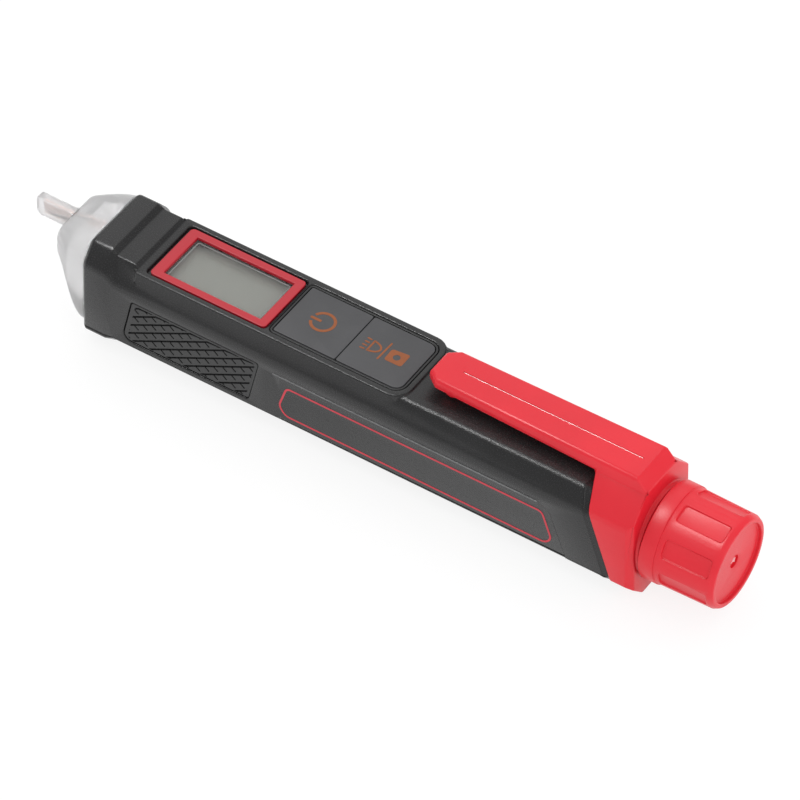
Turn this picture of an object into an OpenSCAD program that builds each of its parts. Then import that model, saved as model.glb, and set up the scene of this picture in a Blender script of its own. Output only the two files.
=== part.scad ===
// Voltage tester pen, lying on its back: sensing blade towards -X, battery cap towards +X, display up.
// All sizes are in millimetres. The origin is on the surface that the pen lies on, under its middle.

/* [Lengths along the pen] */
// How far the sensing blade stands out of the nose
blade_out = 8.6; // [7:0.1:12]
// Length of the clear nose in front of the collar
nose_len = 9.1; // [8:0.1:11]
// Length of the collar behind the nose
collar_len = 5.4; // [4.5:0.1:7]
// Length of the raised brow between collar and display deck
brow_len = 5.6; // [5:0.1:7]
// Length of the deck that carries display and keys
deck_len = 61.6; // [57:0.1:66]
// Length of the slim barrel behind the deck, up to the red tail at its top
barrel_len = 40.7; // [37:0.1:48]
// Length of the red tail along its top
tail_len = 11.4; // [10:0.1:14]
// Length of the battery cap
cap_len = 16; // [15:0.1:18]

/* [Housing section] */
// Width of the housing
body_w = 21.8; // [21:0.1:22.6]
// Height of the barrel's top above the surface
body_top = 23; // [22.8:0.1:23.2]
// How far the barrel's underside stays above the surface
body_lift = 1; // [0.6:0.1:1.2]
// Wall of the housing shells
wall = 1.5; // [1.3:0.1:1.6]
// How far the collar stands out past the housing at each side
collar_step = 0.3; // [0.1:0.05:0.5]
// Height of collar and tail
collar_h = 25.2; // [24.8:0.1:25.6]
// Height of the deck above the barrel's top
deck_rise = 0.3; // [0.2:0.1:0.5]
// How far the deck's edges stay inside the housing's sides
deck_inset = 1.8; // [1.6:0.05:1.95]
// Height of the brow above the barrel's top
brow_rise = 1.1; // [0.8:0.1:1.5]
// How far the brow's flat top stays inside the deck's edges
brow_inset = 1.2; // [0.8:0.1:1.6]

/* [Blade and nose] */
// Thickness of the sensing blade
blade_t = 1.9; // [1.7:0.1:2.4]
// Height of the sensing blade
blade_h = 4.8; // [4.4:0.1:5.2]
// Thickness of the copper strip in the blade
strip_t = 0.4; // [0.2:0.1:0.6]
// Height of the copper strip
strip_h = 2.8; // [2.2:0.1:3.2]
// Width of the nose at its front
nose_w = 13; // [12:0.1:14]

/* [Display] */
// Length of the red display frame
bezel_len = 26.7; // [25:0.1:28]
// Deck left beside the red frame
bezel_margin = 1.65; // [1.6:0.05:1.9]
// Width of the frame's long bars
bezel_bar_w = 1.6; // [1.5:0.1:2]
// Width of the frame's short bars
bezel_end_w = 2.1; // [1.9:0.1:2.6]
// Thickness of the red frame
bezel_t = 0.8; // [0.6:0.1:0.8]
// Thickness of the clear window
window_t = 0.7; // [0.5:0.1:0.7]
// Thickness of the display panel
lcd_t = 1.3; // [1.1:0.1:1.3]

/* [Keys] */
// Share of the keys' length that the power key takes
power_key_share = 0.493; // [0.45:0.005:0.55]
// Deck left beside the keys
key_margin = 2.15; // [2.1:0.05:2.4]
// Radius of the torch key's rear corners
key_corner_r = 1.8; // [1.2:0.1:2.4]
// How far the keys travel
key_travel = 0.4; // [0.2:0.05:0.4]
// Slot round and between the keys
key_gap = 0.2; // [0.15:0.05:0.25]
// Thickness of the rim round the keys
rim_t = 0.45; // [0.35:0.05:0.5]

/* [Pocket clip] */
// Height of the clip's top above the surface
clip_top = 28; // [27.4:0.1:29]
// Width of the clip at its root
clip_w = 10.8; // [10:0.1:11.4]
// Width of the clip near its free end
clip_tip_w = 9.6; // [9:0.1:10.4]
// Thickness of the clip near its free end
clip_t = 2.2; // [1.8:0.1:2.6]
// How far the free end stays behind the deck
clip_reach_gap = 2.2; // [1.6:0.1:8]
// Width of the line along the clip's back
spine_w = 0.3; // [0.2:0.05:0.8]

/* [Battery and cap] */
// Diameter of one battery cell
cell_d = 10.5; // [9.9:0.1:10.6]
// Length of one battery cell with its terminal
cell_len = 44.5; // [43.3:0.1:45.2]
// Height of the cap's axis above the surface
axis_z = 12.3; // [12.1:0.05:12.5]
// Radius of the cap's smooth front ring
cap_ring_r = 10.2; // [10.1:0.05:10.5]
// Length of the cap's front ring
cap_ring_len = 3.3; // [2.8:0.1:3.6]
// Radius of the cap behind the ring
cap_r = 9.95; // [9.9:0.05:10.05]
// Number of flutes round the cap
flute_count = 8; // [6:1:9]
// Share of the pitch that each flute takes
flute_width_share = 0.5; // [0.35:0.05:0.6]
// Depth of the flutes at their middle
flute_depth = 0.6; // [0.4:0.05:0.7]
// Radius of the neck that the cap screws on
neck_r = 8.2; // [8.1:0.05:8.3]

/* [Hidden] */

// Overrun of every cut past the face it opens
over = 0.5;
// Thinnest slab that a blend between two sections starts from
slab = 0.05;
// Steps of a rounded corner in a section
$fn = 32;

// Lean of the joint between barrel and tail, and of the tail's rear face
joint_lean = 9.2;
tail_lean = 1.2;
cap_gap = 0.4;
pen_len = blade_out + nose_len + collar_len + brow_len + deck_len + barrel_len + tail_len
    + tail_lean + cap_gap + cap_len;
x_tip = -pen_len / 2;
x_nose = x_tip + blade_out;
x_collar = x_nose + nose_len;
x_body = x_collar + collar_len;
x_deck = x_body + brow_len;
x_barrel = x_deck + deck_len;
x_joint = x_barrel + barrel_len;
x_back = x_joint + tail_len;
x_cap = x_back + tail_lean + cap_gap;
x_end = x_cap + cap_len;

// Housing: widths, chamfers and corner radii of the sections, and the seam between the shells
collar_w = body_w + 2 * collar_step;
deck_w = body_w - 2 * deck_inset;
brow_w = deck_w - 2 * brow_inset;
body_top_bevel = [2.7, 4.1];
body_low_bevel = 3.6;
collar_top_bevel = [3.5, 4.2];
collar_low_bevel = 3.9;
tail_top_bevel = 5.6;
tail_low_bevel = 4.4;
top_round = 1.5;
shoulder_round = 3;
low_round = 0.9;
arc_step = 15;
collar_front_round = 0.8;
collar_back_slope = 1.9;
brow_back_slope = 0.6;
brow_root = 4.5;
brow_flare = 2.37;
deck_top = body_top + deck_rise;
deck_corner_r = 3.5;
deck_front_r = 0.7;
deck_wall = 0.8;
deck_root = 4;
deck_flare = 0.86;
rear_bevel_len = 1.2;
rear_bevel_depth = 0.4;
seam_z = body_lift + body_low_bevel;
roof_z = body_top - wall;
lip_h = 1.2;
lip_t = 0.9;
lip_gap = 0.12;

// Side recess for the grip pads: outline as height and lean, groove in front of and under the pads
grip_start = 3.9;
grip_len = 29.6;
grip_low = 1.2;
grip_h = 10.9;
grip_lean = 2.3;
grip_corner_r = 2;
grip_rear_r = 0.6;
grip_depth = 0.8;
grip_front_gap = 0.25;
grip_low_gap = 0.45;
x_grip = x_body + grip_start;
z_grip = seam_z + grip_low;

// Hatch in the pads: margins, rising grooves, short falling ones and the tails of the rising ones
hatch_front = 1.15;
hatch_rear = 0.65;
hatch_low = 0.65;
hatch_high = 0.5;
hatch_depth = 0.4;
hatch_angle = 28.8;
hatch_pitch = 1.93;
hatch_shift = -0.75;
hatch_w = 0.36;
tick_angle = -39;
tick_pitch = 2.06;
tick_shift = 1.04;
tick_len = 1.35;
tick_w = 0.26;
tail_stroke_len = 2.8;
tail_stroke_w = [0.42, 0.14];

// Shallow label recess in both sides
label_ramp = 3;
label_front_gap = 1.7;
label_rear_gap = 8.9;
label_top = 16;
label_lean = 5.6;
label_corner = 2.6;
label_depth = 0.4;

// Nose: places along its length and outlines there
nose_spigot_len = 3.5;
nose_fit = 0.1;
nose_wall = 1.4;
nose_rear_inset = 0.1;
nose_rear_w = collar_w - 2 * (collar_front_round + nose_rear_inset);
nose_low = [14.2, 2.4];
nose_high = [21.4, 24.6];
nose_corner_r = [2.3, 5];
nose_front_r = 0.7;
nose_low_share = 0.9;
nose_round_shares = [0, 0.3, 0.65, 1];
nose_rings = 14;
nose_hollow_start = 4;
nose_hollow_half_w = 5.5;
nose_hollow_low = 9.5;
nose_hollow_high = 20;
nose_hollow_r = 1;
blade_low = 16.7;
blade_nick = 1;
strip_front = 1.6;
strip_gap = 0.1;
strip_low = blade_low + (blade_h - strip_h) / 2;

// Main board, its posts and the small board behind the nose
board_t = 1;
board_top = 18.9;
board_side_gap = 1.4;
board_w = body_w - 2 * (wall + board_side_gap);
board_past_deck = 3.7;
led_board_t = 0.8;
led_board_gap = 0.4;
x_led_board = x_collar + nose_spigot_len;
x_board = x_led_board + led_board_t;
board_len = x_barrel + board_past_deck - x_board;
board_low = board_top - board_t;
post_r = 1.2;
post_pin_r = 0.6;
post_hole_r = 0.7;
post_pin_len = 1.3;
post_edge = 1.8;
post_y = board_w / 2 - post_edge;
post_inset = 2.5;
post_sites = [x_board + post_inset, x_board + board_len - post_inset];

// Display: pockets in the deck, from the frame down to the board
bezel_sunk = 0.1;
bezel_corner_r = 0.9;
bezel_start = 2.5;
x_bezel = x_deck + bezel_start;
bezel_w = deck_w - 2 * bezel_margin;
view_w = bezel_w - 2 * bezel_bar_w;
view_len = bezel_len - 2 * bezel_end_w;
bezel_front_gap = 0.65;
bezel_gap = 0.35;
view_shift = 0.2;
bezel_z = deck_top - bezel_sunk - bezel_t;
window_z = bezel_z - window_t;
window_border = 1.2;
window_gap = 0.15;
ledge_t = 0.7;
sight_border = 0.25;
lcd_top = window_z - ledge_t;
lcd_z = lcd_top - lcd_t;
lcd_border = [1.05, 1.2];
zebra_w = 1.6;
zebra_inset = 0.4;
zebra_len_share = 0.9;

// Keys: plate, retaining flange and the pocket over each switch
key_start_gap = 1.6;
key_end_gap = 2;
x_key = x_bezel + bezel_len + key_start_gap;
keys_len = x_barrel - key_end_gap - x_key;
power_key_len = power_key_share * (keys_len - key_gap);
torch_key_len = keys_len - key_gap - power_key_len;
key_w = deck_w - 2 * key_margin;
key_sunk = 0.05;
key_top = deck_top - key_sunk;
key_front_r = 0.4;
key_flange = 0.6;
key_flange_t = 0.5;
key_flange_gap = 0.1;
key_plate_t = 1.25;
rim_sunk = 0.1;
rim_gap = 0.1;
rim_flange = 0.45;
rim_flange_t = 0.4;
key_low = roof_z - rim_flange_t - key_flange_gap - key_flange_t;
key_skin_z = key_top - key_plate_t;
x_torch_key = x_key + power_key_len + key_gap;
switch_w = 4.6;
switch_h = 1.6;
plunger_r = 1;
plunger_gap = 0.1;
plunger_root = 1;
nib_r = 1.5;
nib_h = 0.85;
plunger_top = key_skin_z - nib_h;
rim_hole_gap = key_gap + rim_t + rim_gap;

// Tail, clip and neck
tail_bevel = 1.2;
spigot_t = 1.2;
spigot_len = 6;
boss_r = 9.4;
boss_gap = 0.3;
neck_len = 7;
neck_hole_gap = 0.2;
clip_bevel = 0.55;
clip_nose_w = 6;
clip_nose_len = 2.4;
clip_root_drop = 0.9;
clip_slope_len = 2.5;
clip_nub_r = 1.5;
clip_nub_gap = 0.4;
clip_nub_inset = 5;
spine_depth = 0.2;
spine_front = 5.7;
spine_rear = 4.1;
x_clip = x_barrel + clip_reach_gap;

// Cap
cap_bore_gap = 0.3;
cap_seal_depth = 1.5;
cap_seal_r = 9.6;
cap_bore_depth = 7.6;
cap_inner_r = 7;
cap_end_t = 2.5;
cap_taper = 0.2;
cap_rim_bevel = 1;
cap_rim_w = 0.9;
cap_recess = 0.8;
cap_dimple_r = 2.2;
cap_dimple_depth = 0.5;
flute_front = 1.1;
flute_rear = 1.5;
flute_corner_r = 0.6;
flute_phase = 16.5;
contact_t = 0.5;
contact_r = 6.6;
contact_gap = 0.15;
catch_t = 0.6;
catch_r = 6.3;
seal_r = 0.6;

// Cells, sleeve and contacts
nub_r = 2.6;
nub_h = 0.9;
cell_gap = 0.05;
cell_round = 0.5;
spring_len = 4.35;
spring_wire_r = 0.3;
spring_front_r = 2.6;
spring_rear_r = 4.6;
spring_turns = 4;
spring_end_gap = 0.1;
spring_rings = 22;
spring_sides = 6;
x_contact = x_end - cap_end_t - contact_gap - contact_t;
x_cell_end = x_contact - spring_len - spring_end_gap;
x_cell_mid = x_cell_end - cell_len;
x_cell_front = x_cell_mid - cell_len;
sleeve_gap = 0.3;
sleeve_t = 0.9;
sleeve_r = cell_d / 2 + sleeve_gap;
sleeve_out_r = sleeve_r + sleeve_t;
front_contact_t = 0.5;
sleeve_end_t = 1.2;
sleeve_back_inset = 1;
x_sleeve = x_cell_front - front_contact_t - sleeve_end_t;
x_sleeve_end = x_cap - boss_gap + neck_len - sleeve_back_inset;
sleeve_open_z = board_low - over / 2;
x_sleeve_open = x_board + board_len + post_inset;
contact_tab_w = 3;
saddle_t = 1.2;
saddle_gap = 0.05;
saddle_shares = [0.12, 0.42, 0.75];
saddle_side_gap = 0.88;
saddle_w = body_w - 2 * (wall + lip_gap + lip_t + saddle_side_gap);

// Lamps and parts on the boards
torch_led_r = 2.5;
torch_led_z = 12;
torch_led_len = 5.2;
led_flange_r = 0.4;
led_flange_t = 1;
alarm_led_r = 1.5;
alarm_led_z = 16.2;
alarm_led_y = 4.2;
alarm_led_len = 3.4;
board_room = x_sleeve - x_board;
chip_w = 7;
chip_t = 1.1;
chip_share = 0.745;
buzzer_r = 5.5;
buzzer_h = 5;
buzzer_share = 0.28;
buzzer_hole_r = 1;
buzzer_hole_depth = 1.5;
part_sizes = [[2, 1.2, 0.6], [3.2, 1.6, 1.2], [1.6, 0.8, 0.6], [2, 1.2, 0.9]];
part_shares = [0.13, 0.59, 0.9, 0.98];
part_side = [-5, 5.5, 4, -4.5];
can_cap_r = 1.8;
can_cap_h = 4.5;
can_cap_share = 0.89;
can_cap_side = -5;

// Extrudes a section drawn in Y and Z from x0 to x1
module along_x(x0, x1) {
    translate([x0, 0, 0])
        rotate([90, 0, 90])
            linear_extrude(x1 - x0)
                children();
}

// Extrudes a profile drawn in X and Z over the full width given, about the middle plane
module across_y(width) {
    translate([0, width / 2, 0])
        rotate([90, 0, 0])
            linear_extrude(width)
                children();
}

// Turns a solid made along Z so that it lies along X on the cap's axis, from x0
module on_axis(x0) {
    translate([x0, 0, axis_z])
        rotate([0, 90, 0])
            children();
}

// Corner b of an outline, between a and c, as points on an arc of radius r
function arc_corner(a, b, c, r) =
    let (
        u = (a - b) / norm(a - b),
        v = (c - b) / norm(c - b),
        half = acos(u * v) / 2,
        hub = b + (u + v) / norm(u + v) * r / sin(half),
        from = b + u * r / tan(half) - hub,
        to = b + v * r / tan(half) - hub,
        start = atan2(from[1], from[0]),
        sweep = (atan2(to[1], to[0]) - start + 540) % 360 - 180,
        steps = max(1, round(abs(sweep) / arc_step))
    )
    [for (i = [0 : steps]) hub + r * [cos(start + sweep * i / steps), sin(start + sweep * i / steps)]];

// Outline with each corner rounded by its own radius
function soft_outline(points, radii) = [
    for (i = [0 : len(points) - 1])
        each arc_corner(points[(i + len(points) - 1) % len(points)], points[i],
            points[(i + 1) % len(points)], radii[i])
];

// Rounds the corners of an outline without changing its size
module rounded(r) {
    offset(r = r)
        offset(delta = -r)
            children();
}

// Right half of an eight-sided section: width, foot, head, top bevel [across, down] and low bevel
function octagon_half(w, z0, z1, top_bevel, low_bevel) = [
    [w / 2 - low_bevel, z0],
    [w / 2, z0 + low_bevel],
    [w / 2, z1 - top_bevel[1]],
    [w / 2 - top_bevel[0], z1]
];

// The same points with their mirror images, in order round the section
function mirrored(half) = concat(half, [for (i = [len(half) - 1 : -1 : 0]) [-half[i][0], half[i][1]]]);

function body_points() = mirrored(octagon_half(body_w, body_lift, body_top, body_top_bevel, body_low_bevel));
function collar_points() = mirrored(octagon_half(collar_w, 0, collar_h, collar_top_bevel, collar_low_bevel));
function tail_points() = mirrored(octagon_half(body_w, 0, collar_h, [tail_top_bevel, tail_top_bevel],
    tail_low_bevel));

// Radii of a skin's corners, in the order of the points
function skin_radii() = [
    low_round, low_round, shoulder_round, top_round,
    top_round, shoulder_round, low_round, low_round
];

// Plate outline from x0, centred across, with separate front and rear corner radii
module plate(x0, len, w, front_r, rear_r) {
    polygon(soft_outline(
        [[x0, -w / 2], [x0 + len, -w / 2], [x0 + len, w / 2], [x0, w / 2]],
        [front_r, rear_r, rear_r, front_r]
    ));
}

// Section of the barrel with sharp corners, for what lies inside it
module body_section() {
    polygon(body_points());
}

// Outside of the barrel, with its soft corners
module body_skin() {
    polygon(soft_outline(body_points(), skin_radii()));
}

module collar_skin() {
    polygon(soft_outline(collar_points(), skin_radii()));
}

module tail_skin() {
    polygon(soft_outline(tail_points(), skin_radii()));
}

// Joint face between barrel and tail: everything in front of it, moved back by shift
module ahead_of_joint(shift) {
    across_y(2 * collar_w)
        polygon([
            [x_tip, -collar_h],
            [x_joint + shift + 2 * joint_lean, -collar_h],
            [x_joint + shift - joint_lean, 2 * collar_h],
            [x_tip, 2 * collar_h]
        ]);
}

// Leaning outline in the grip recess, in X and Z, drawn in by separate margins
module grip_outline(front = 0, rear = 0, low = 0, high = 0) {
    lean_low = grip_lean * low / grip_h;
    lean_high = grip_lean * (1 - high / grip_h);
    polygon(soft_outline(
        [
            [x_grip + lean_low + front, z_grip + low],
            [x_grip + lean_low + grip_len - rear, z_grip + low],
            [x_grip + lean_high + grip_len - rear, z_grip + grip_h - high],
            [x_grip + lean_high + front, z_grip + grip_h - high]
        ],
        [grip_corner_r - (front + low) / 2, grip_rear_r, grip_rear_r, grip_rear_r]
    ));
}

// Label recess: ramps in at its front, ends in a leaning edge at its rear
module label_cut() {
    x0 = x_grip + grip_len + grip_lean + label_front_gap;
    x1 = x_joint - label_rear_gap;
    foot = seam_z - body_low_bevel;
    intersection() {
        across_y(2 * body_w)
            polygon([
                [x0, foot],
                [x1 + label_lean + label_corner, foot],
                [x1 + label_corner, label_top - label_corner / 2],
                [x1, label_top],
                [x0, label_top]
            ]);
        translate([0, 0, foot - over])
            linear_extrude(collar_h)
                for (side = [-1, 1])
                    polygon([
                        [x0, side * (body_w / 2 + over)],
                        [x0, side * body_w / 2],
                        [x0 + label_ramp, side * (body_w / 2 - label_depth)],
                        [x1 + 2 * label_lean, side * (body_w / 2 - label_depth)],
                        [x1 + 2 * label_lean, side * (body_w / 2 + over)]
                    ]);
    }
}

// Collar: its front edge is eased, its rear slopes down to the barrel all round
module collar() {
    hull() {
        along_x(x_collar, x_collar + slab)
            offset(delta = -collar_front_round)
                collar_skin();
        along_x(x_collar + collar_front_round, x_body)
            collar_skin();
        along_x(x_body + collar_back_slope - slab, x_body + collar_back_slope)
            offset(delta = -slab)
                body_skin();
    }
}

// Brow: raised flat between collar and deck, with sloping sides and rear
module brow() {
    z_top = body_top + brow_rise;
    intersection() {
        along_x(x_body - 2 * over, x_deck + brow_back_slope)
            polygon([
                [-brow_w / 2 - brow_flare, z_top - brow_root],
                [brow_w / 2 + brow_flare, z_top - brow_root],
                [brow_w / 2, z_top],
                [-brow_w / 2, z_top]
            ]);
        across_y(2 * body_w)
            polygon([
                [x_body - over, z_top - brow_root],
                [x_body - over, z_top],
                [x_deck - brow_back_slope / 2, z_top],
                [x_deck + brow_back_slope / 2, deck_top],
                [x_deck + brow_back_slope, z_top - brow_root]
            ]);
    }
}

// Deck: the block with drafted sides that stands over the shoulders round display and keys
module deck() {
    hull() {
        translate([0, 0, deck_top - slab])
            linear_extrude(slab)
                plate(x_deck, deck_len, deck_w, deck_front_r, deck_corner_r);
        translate([0, 0, deck_top - deck_root])
            linear_extrude(slab)
                plate(x_deck, deck_len + deck_flare, deck_w + 2 * deck_flare,
                    deck_front_r, deck_corner_r + deck_flare);
    }
}

// Slice of the barrel along its leaning rear joint, moved back by shift and drawn in by inset
module joint_slice(shift, inset) {
    intersection() {
        along_x(x_joint - 2 * joint_lean, x_joint + 2 * joint_lean)
            offset(delta = -inset)
                body_skin();
        difference() {
            ahead_of_joint(shift);
            ahead_of_joint(shift - slab);
        }
    }
}

// Barrel with its rear rim bevelled along the joint
module barrel() {
    intersection() {
        along_x(x_body - over, x_joint + joint_lean + over)
            body_skin();
        ahead_of_joint(-rear_bevel_len);
    }
    hull() {
        joint_slice(-rear_bevel_len, slab);
        joint_slice(rear_bevel_len, 2 * rear_bevel_depth);
    }
}

// Whole black housing from outside, before it is hollowed and parted
module housing_outer() {
    difference() {
        union() {
            barrel();
            collar();
            brow();
            deck();
        }
        label_cut();
        for (side = [-1, 1])
            translate([0, side * (body_w / 2 - grip_depth / 2 + over), 0])
                across_y(grip_depth + 2 * over)
                    grip_outline();
    }
}

// Room inside the housing
module housing_room() {
    along_x(x_collar - over, x_joint + 2 * joint_lean)
        offset(delta = -wall)
            body_section();
    translate([0, 0, roof_z - deck_root])
        linear_extrude(deck_root)
            plate(x_deck + deck_wall, deck_len - 2 * deck_wall, deck_w - 2 * deck_wall,
                deck_front_r, deck_corner_r - deck_wall);
}

// Display pockets, deepest last
module display_cuts() {
    translate([0, 0, bezel_z])
        linear_extrude(collar_h)
            plate(x_bezel - bezel_front_gap, bezel_len + bezel_front_gap + bezel_gap,
                bezel_w + 2 * bezel_gap, bezel_corner_r, bezel_corner_r);
    translate([0, 0, window_z])
        linear_extrude(collar_h)
            square_window(window_border + window_gap);
    translate([0, 0, lcd_top - over])
        linear_extrude(collar_h)
            square_window(sight_border);
}

// Outline round the view, larger by border on every side
module square_window(border) {
    translate([x_bezel + bezel_len / 2 + view_shift, 0])
        square([view_len + 2 * border, view_w + 2 * border], center = true);
}

// Outline of both keys together, grown by a gap
module keys_outline(gap) {
    plate(x_key - gap, keys_len + 2 * gap, key_w + 2 * gap, key_front_r + gap, key_corner_r + gap);
}

module board_posts() {
    for (x = post_sites, side = [-1, 1])
        translate([x, side * post_y, 0]) {
            translate([0, 0, board_top])
                cylinder(r = post_r, h = roof_z + over - board_top);
            translate([0, 0, board_top - post_pin_len])
                cylinder(r = post_pin_r, h = post_pin_len + over);
        }
}

module upper_shell() {
    color([0.27, 0.27, 0.28])
        intersection() {
            union() {
                difference() {
                    housing_outer();
                    housing_room();
                    display_cuts();
                    translate([0, 0, roof_z - over])
                        linear_extrude(collar_h)
                            keys_outline(rim_hole_gap);
                }
                difference() {
                    translate([0, 0, lcd_top])
                        linear_extrude(roof_z - lcd_top + over / 2)
                            square_window(window_border + window_gap + deck_wall);
                    display_cuts();
                }
                board_posts();
            }
            ahead_of_joint(0);
            translate([x_tip, -collar_w, seam_z])
                cube([pen_len, 2 * collar_w, 2 * collar_h]);
        }
}

// Lip round the lower shell's edge that locates the upper shell
module shell_lip() {
    intersection() {
        along_x(x_led_board + lip_t, x_joint - spigot_len)
            difference() {
                offset(delta = -wall - lip_gap)
                    body_section();
                offset(delta = -wall - lip_gap - lip_t)
                    body_section();
            }
        translate([x_tip, -collar_w, seam_z - lip_h])
            cube([pen_len, 2 * collar_w, 2 * lip_h]);
    }
    intersection() {
        along_x(x_led_board + lip_t, x_joint - spigot_len)
            difference() {
                offset(delta = -wall + lip_gap)
                    body_section();
                offset(delta = -wall - lip_gap - lip_t)
                    body_section();
            }
        translate([x_tip, -collar_w, seam_z - lip_h])
            cube([pen_len, 2 * collar_w, lip_h]);
    }
}

// Cradles under the battery sleeve
module saddles() {
    for (share = saddle_shares)
        difference() {
            translate([x_sleeve + share * (x_joint - x_sleeve), -saddle_w / 2, body_lift + wall / 2])
                cube([saddle_t, saddle_w, axis_z - body_lift - wall / 2]);
            on_axis(x_sleeve - over)
                cylinder(r = sleeve_out_r + saddle_gap, h = pen_len);
        }
}

module lower_shell() {
    color([0.25, 0.25, 0.26]) {
        intersection() {
            difference() {
                housing_outer();
                housing_room();
            }
            ahead_of_joint(0);
            translate([x_tip, -collar_w, -over])
                cube([pen_len, 2 * collar_w, seam_z + over]);
        }
        shell_lip();
        saddles();
    }
}

// Height on the middle line of rising groove i, at a place x behind the recess's front corner
function groove_z(i, x) = (hatch_shift + i * hatch_pitch) / cos(hatch_angle) + x * tan(hatch_angle);

// Rising grooves, each with short ticks under it and a tapering tail along the top of the hatch
module hatch() {
    first = floor(-grip_len * sin(hatch_angle) / hatch_pitch);
    last = ceil(grip_h / hatch_pitch);
    top = grip_h - hatch_high;
    for (i = [first : last]) {
        translate([0, groove_z(i, 0)])
            rotate(hatch_angle)
                translate([0, -hatch_w / 2])
                    square([grip_len / cos(hatch_angle) + grip_h, hatch_w]);
        for (x = [tick_shift : tick_pitch : grip_len + grip_lean])
            translate([x, groove_z(i, x)])
                rotate(tick_angle)
                    translate([0, -tick_w])
                        square([tick_len, tick_w]);
        x_tail = (top - groove_z(i, 0)) / tan(hatch_angle);
        polygon([
            [x_tail - hatch_w, top],
            [x_tail - hatch_w, top - tail_stroke_w[0]],
            [x_tail + tail_stroke_len, top - tail_stroke_w[1]],
            [x_tail + tail_stroke_len, top]
        ]);
    }
}

// Hatched pad for one side
module grip_pad(side) {
    y_in = body_w / 2 - grip_depth;
    y_out = body_w / 2;
    difference() {
        translate([0, side * (y_in + y_out) / 2, 0])
            across_y(y_out - y_in)
                grip_outline(grip_front_gap, 0, grip_low_gap, 0);
        translate([0, side * y_out, 0])
            across_y(2 * hatch_depth)
                intersection() {
                    grip_outline(hatch_front, hatch_rear, hatch_low, hatch_high);
                    translate([x_grip, z_grip])
                        hatch();
                }
    }
}

module grip_left() {
    color([0.3, 0.3, 0.31])
        grip_pad(1);
}

module grip_right() {
    color([0.3, 0.3, 0.31])
        grip_pad(-1);
}

// How far a quarter round at the nose's front edge still draws in at depth d
function front_ease(d) =
    d < nose_front_r ? nose_front_r - sqrt(nose_front_r ^ 2 - (nose_front_r - d) ^ 2) : 0;

function between(ends, t) = ends[0] + (ends[1] - ends[0]) * t;

// Soft step from 0 to 1
function swell(t) = t < 1 ? t * t * (3 - 2 * t) : 1;

// Outline of the nose at depth d behind its front: widens fast, its underside drops in an S curve
function nose_ring(d) =
    let (
        t = d / nose_len,
        ease = front_ease(d),
        w = between([nose_w, nose_rear_w], sin(90 * t)) / 2 - ease,
        low = between(nose_low, swell(t / nose_low_share)) + ease,
        high = between(nose_high, t) - ease,
        r = between(nose_corner_r, t) - ease / 2
    )
    [for (p = soft_outline([[w, low], [w, high], [-w, high], [-w, low]], [r, r, r, r]))
        [x_nose + d, p[0], p[1]]];

// Depths of the rings: close together over the rounded front edge, then even
function nose_depths() = concat(
    [for (share = nose_round_shares) share * nose_front_r],
    [for (i = [1 : nose_rings]) nose_front_r + (nose_len - nose_front_r) * i / nose_rings]
);

// Body of the nose, one skin over all its rings
module nose_body() {
    rings = [for (d = nose_depths()) nose_ring(d)];
    n = len(rings[0]);
    last = (len(rings) - 1) * n;
    skin = [
        for (i = [0 : len(rings) - 2], k = [0 : n - 1])
            let (a = i * n + k, b = i * n + (k + 1) % n)
                each [[a, b + n, b], [a, a + n, b + n]]
    ];
    front_end = [[for (k = [0 : n - 1]) k]];
    rear_end = [[for (k = [n - 1 : -1 : 0]) last + k]];
    polyhedron([for (ring = rings) each ring], concat(skin, front_end, rear_end));
}

module blade() {
    across_y(blade_t)
        polygon([
            [x_tip + blade_nick, blade_low],
            [x_nose + nose_len / 2, blade_low],
            [x_nose + nose_len / 2, blade_low + blade_h],
            [x_tip + blade_nick / 2, blade_low + blade_h],
            [x_tip, blade_low + blade_h - blade_nick / 2],
            [x_tip, blade_low + blade_nick]
        ]);
}

module nose_lens() {
    color([0.85, 0.86, 0.87, 0.6])
        difference() {
            union() {
                nose_body();
                along_x(x_collar - over, x_led_board)
                    offset(delta = -wall - nose_fit)
                        body_section();
                blade();
            }
            hull() {
                along_x(x_nose + nose_hollow_start, x_nose + nose_hollow_start + slab)
                    rounded(nose_hollow_r)
                        translate([-nose_hollow_half_w, nose_hollow_low])
                            square([2 * nose_hollow_half_w, nose_hollow_high - nose_hollow_low]);
                along_x(x_led_board, x_led_board + over)
                    offset(delta = -wall - nose_fit - nose_wall)
                        body_section();
            }
            translate([x_tip + strip_front - strip_gap, -strip_t / 2 - strip_gap, strip_low - strip_gap / 2])
                cube([pen_len / 2, strip_t + 2 * strip_gap, strip_h + strip_gap]);
        }
}

module sensor_strip() {
    color([0.8, 0.5, 0.35])
        translate([x_tip + strip_front, -strip_t / 2, strip_low - strip_gap / 2])
            cube([x_led_board - x_tip - strip_front, strip_t, strip_h]);
}

module display_bezel() {
    color([0.85, 0.24, 0.29])
        translate([0, 0, bezel_z])
            linear_extrude(bezel_t)
                difference() {
                    plate(x_bezel, bezel_len, bezel_w, bezel_corner_r, bezel_corner_r);
                    square_window(0);
                }
}

module display_window() {
    color([0.8, 0.85, 0.85, 0.4])
        translate([0, 0, window_z])
            linear_extrude(window_t)
                square_window(window_border);
}

module lcd_panel() {
    color([0.58, 0.6, 0.56])
        translate([x_bezel + bezel_len / 2 + view_shift - view_len / 2 - lcd_border[0],
                -view_w / 2 - lcd_border[1], lcd_z])
            cube([view_len + 2 * lcd_border[0], view_w + 2 * lcd_border[1], lcd_t]);
}

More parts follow.
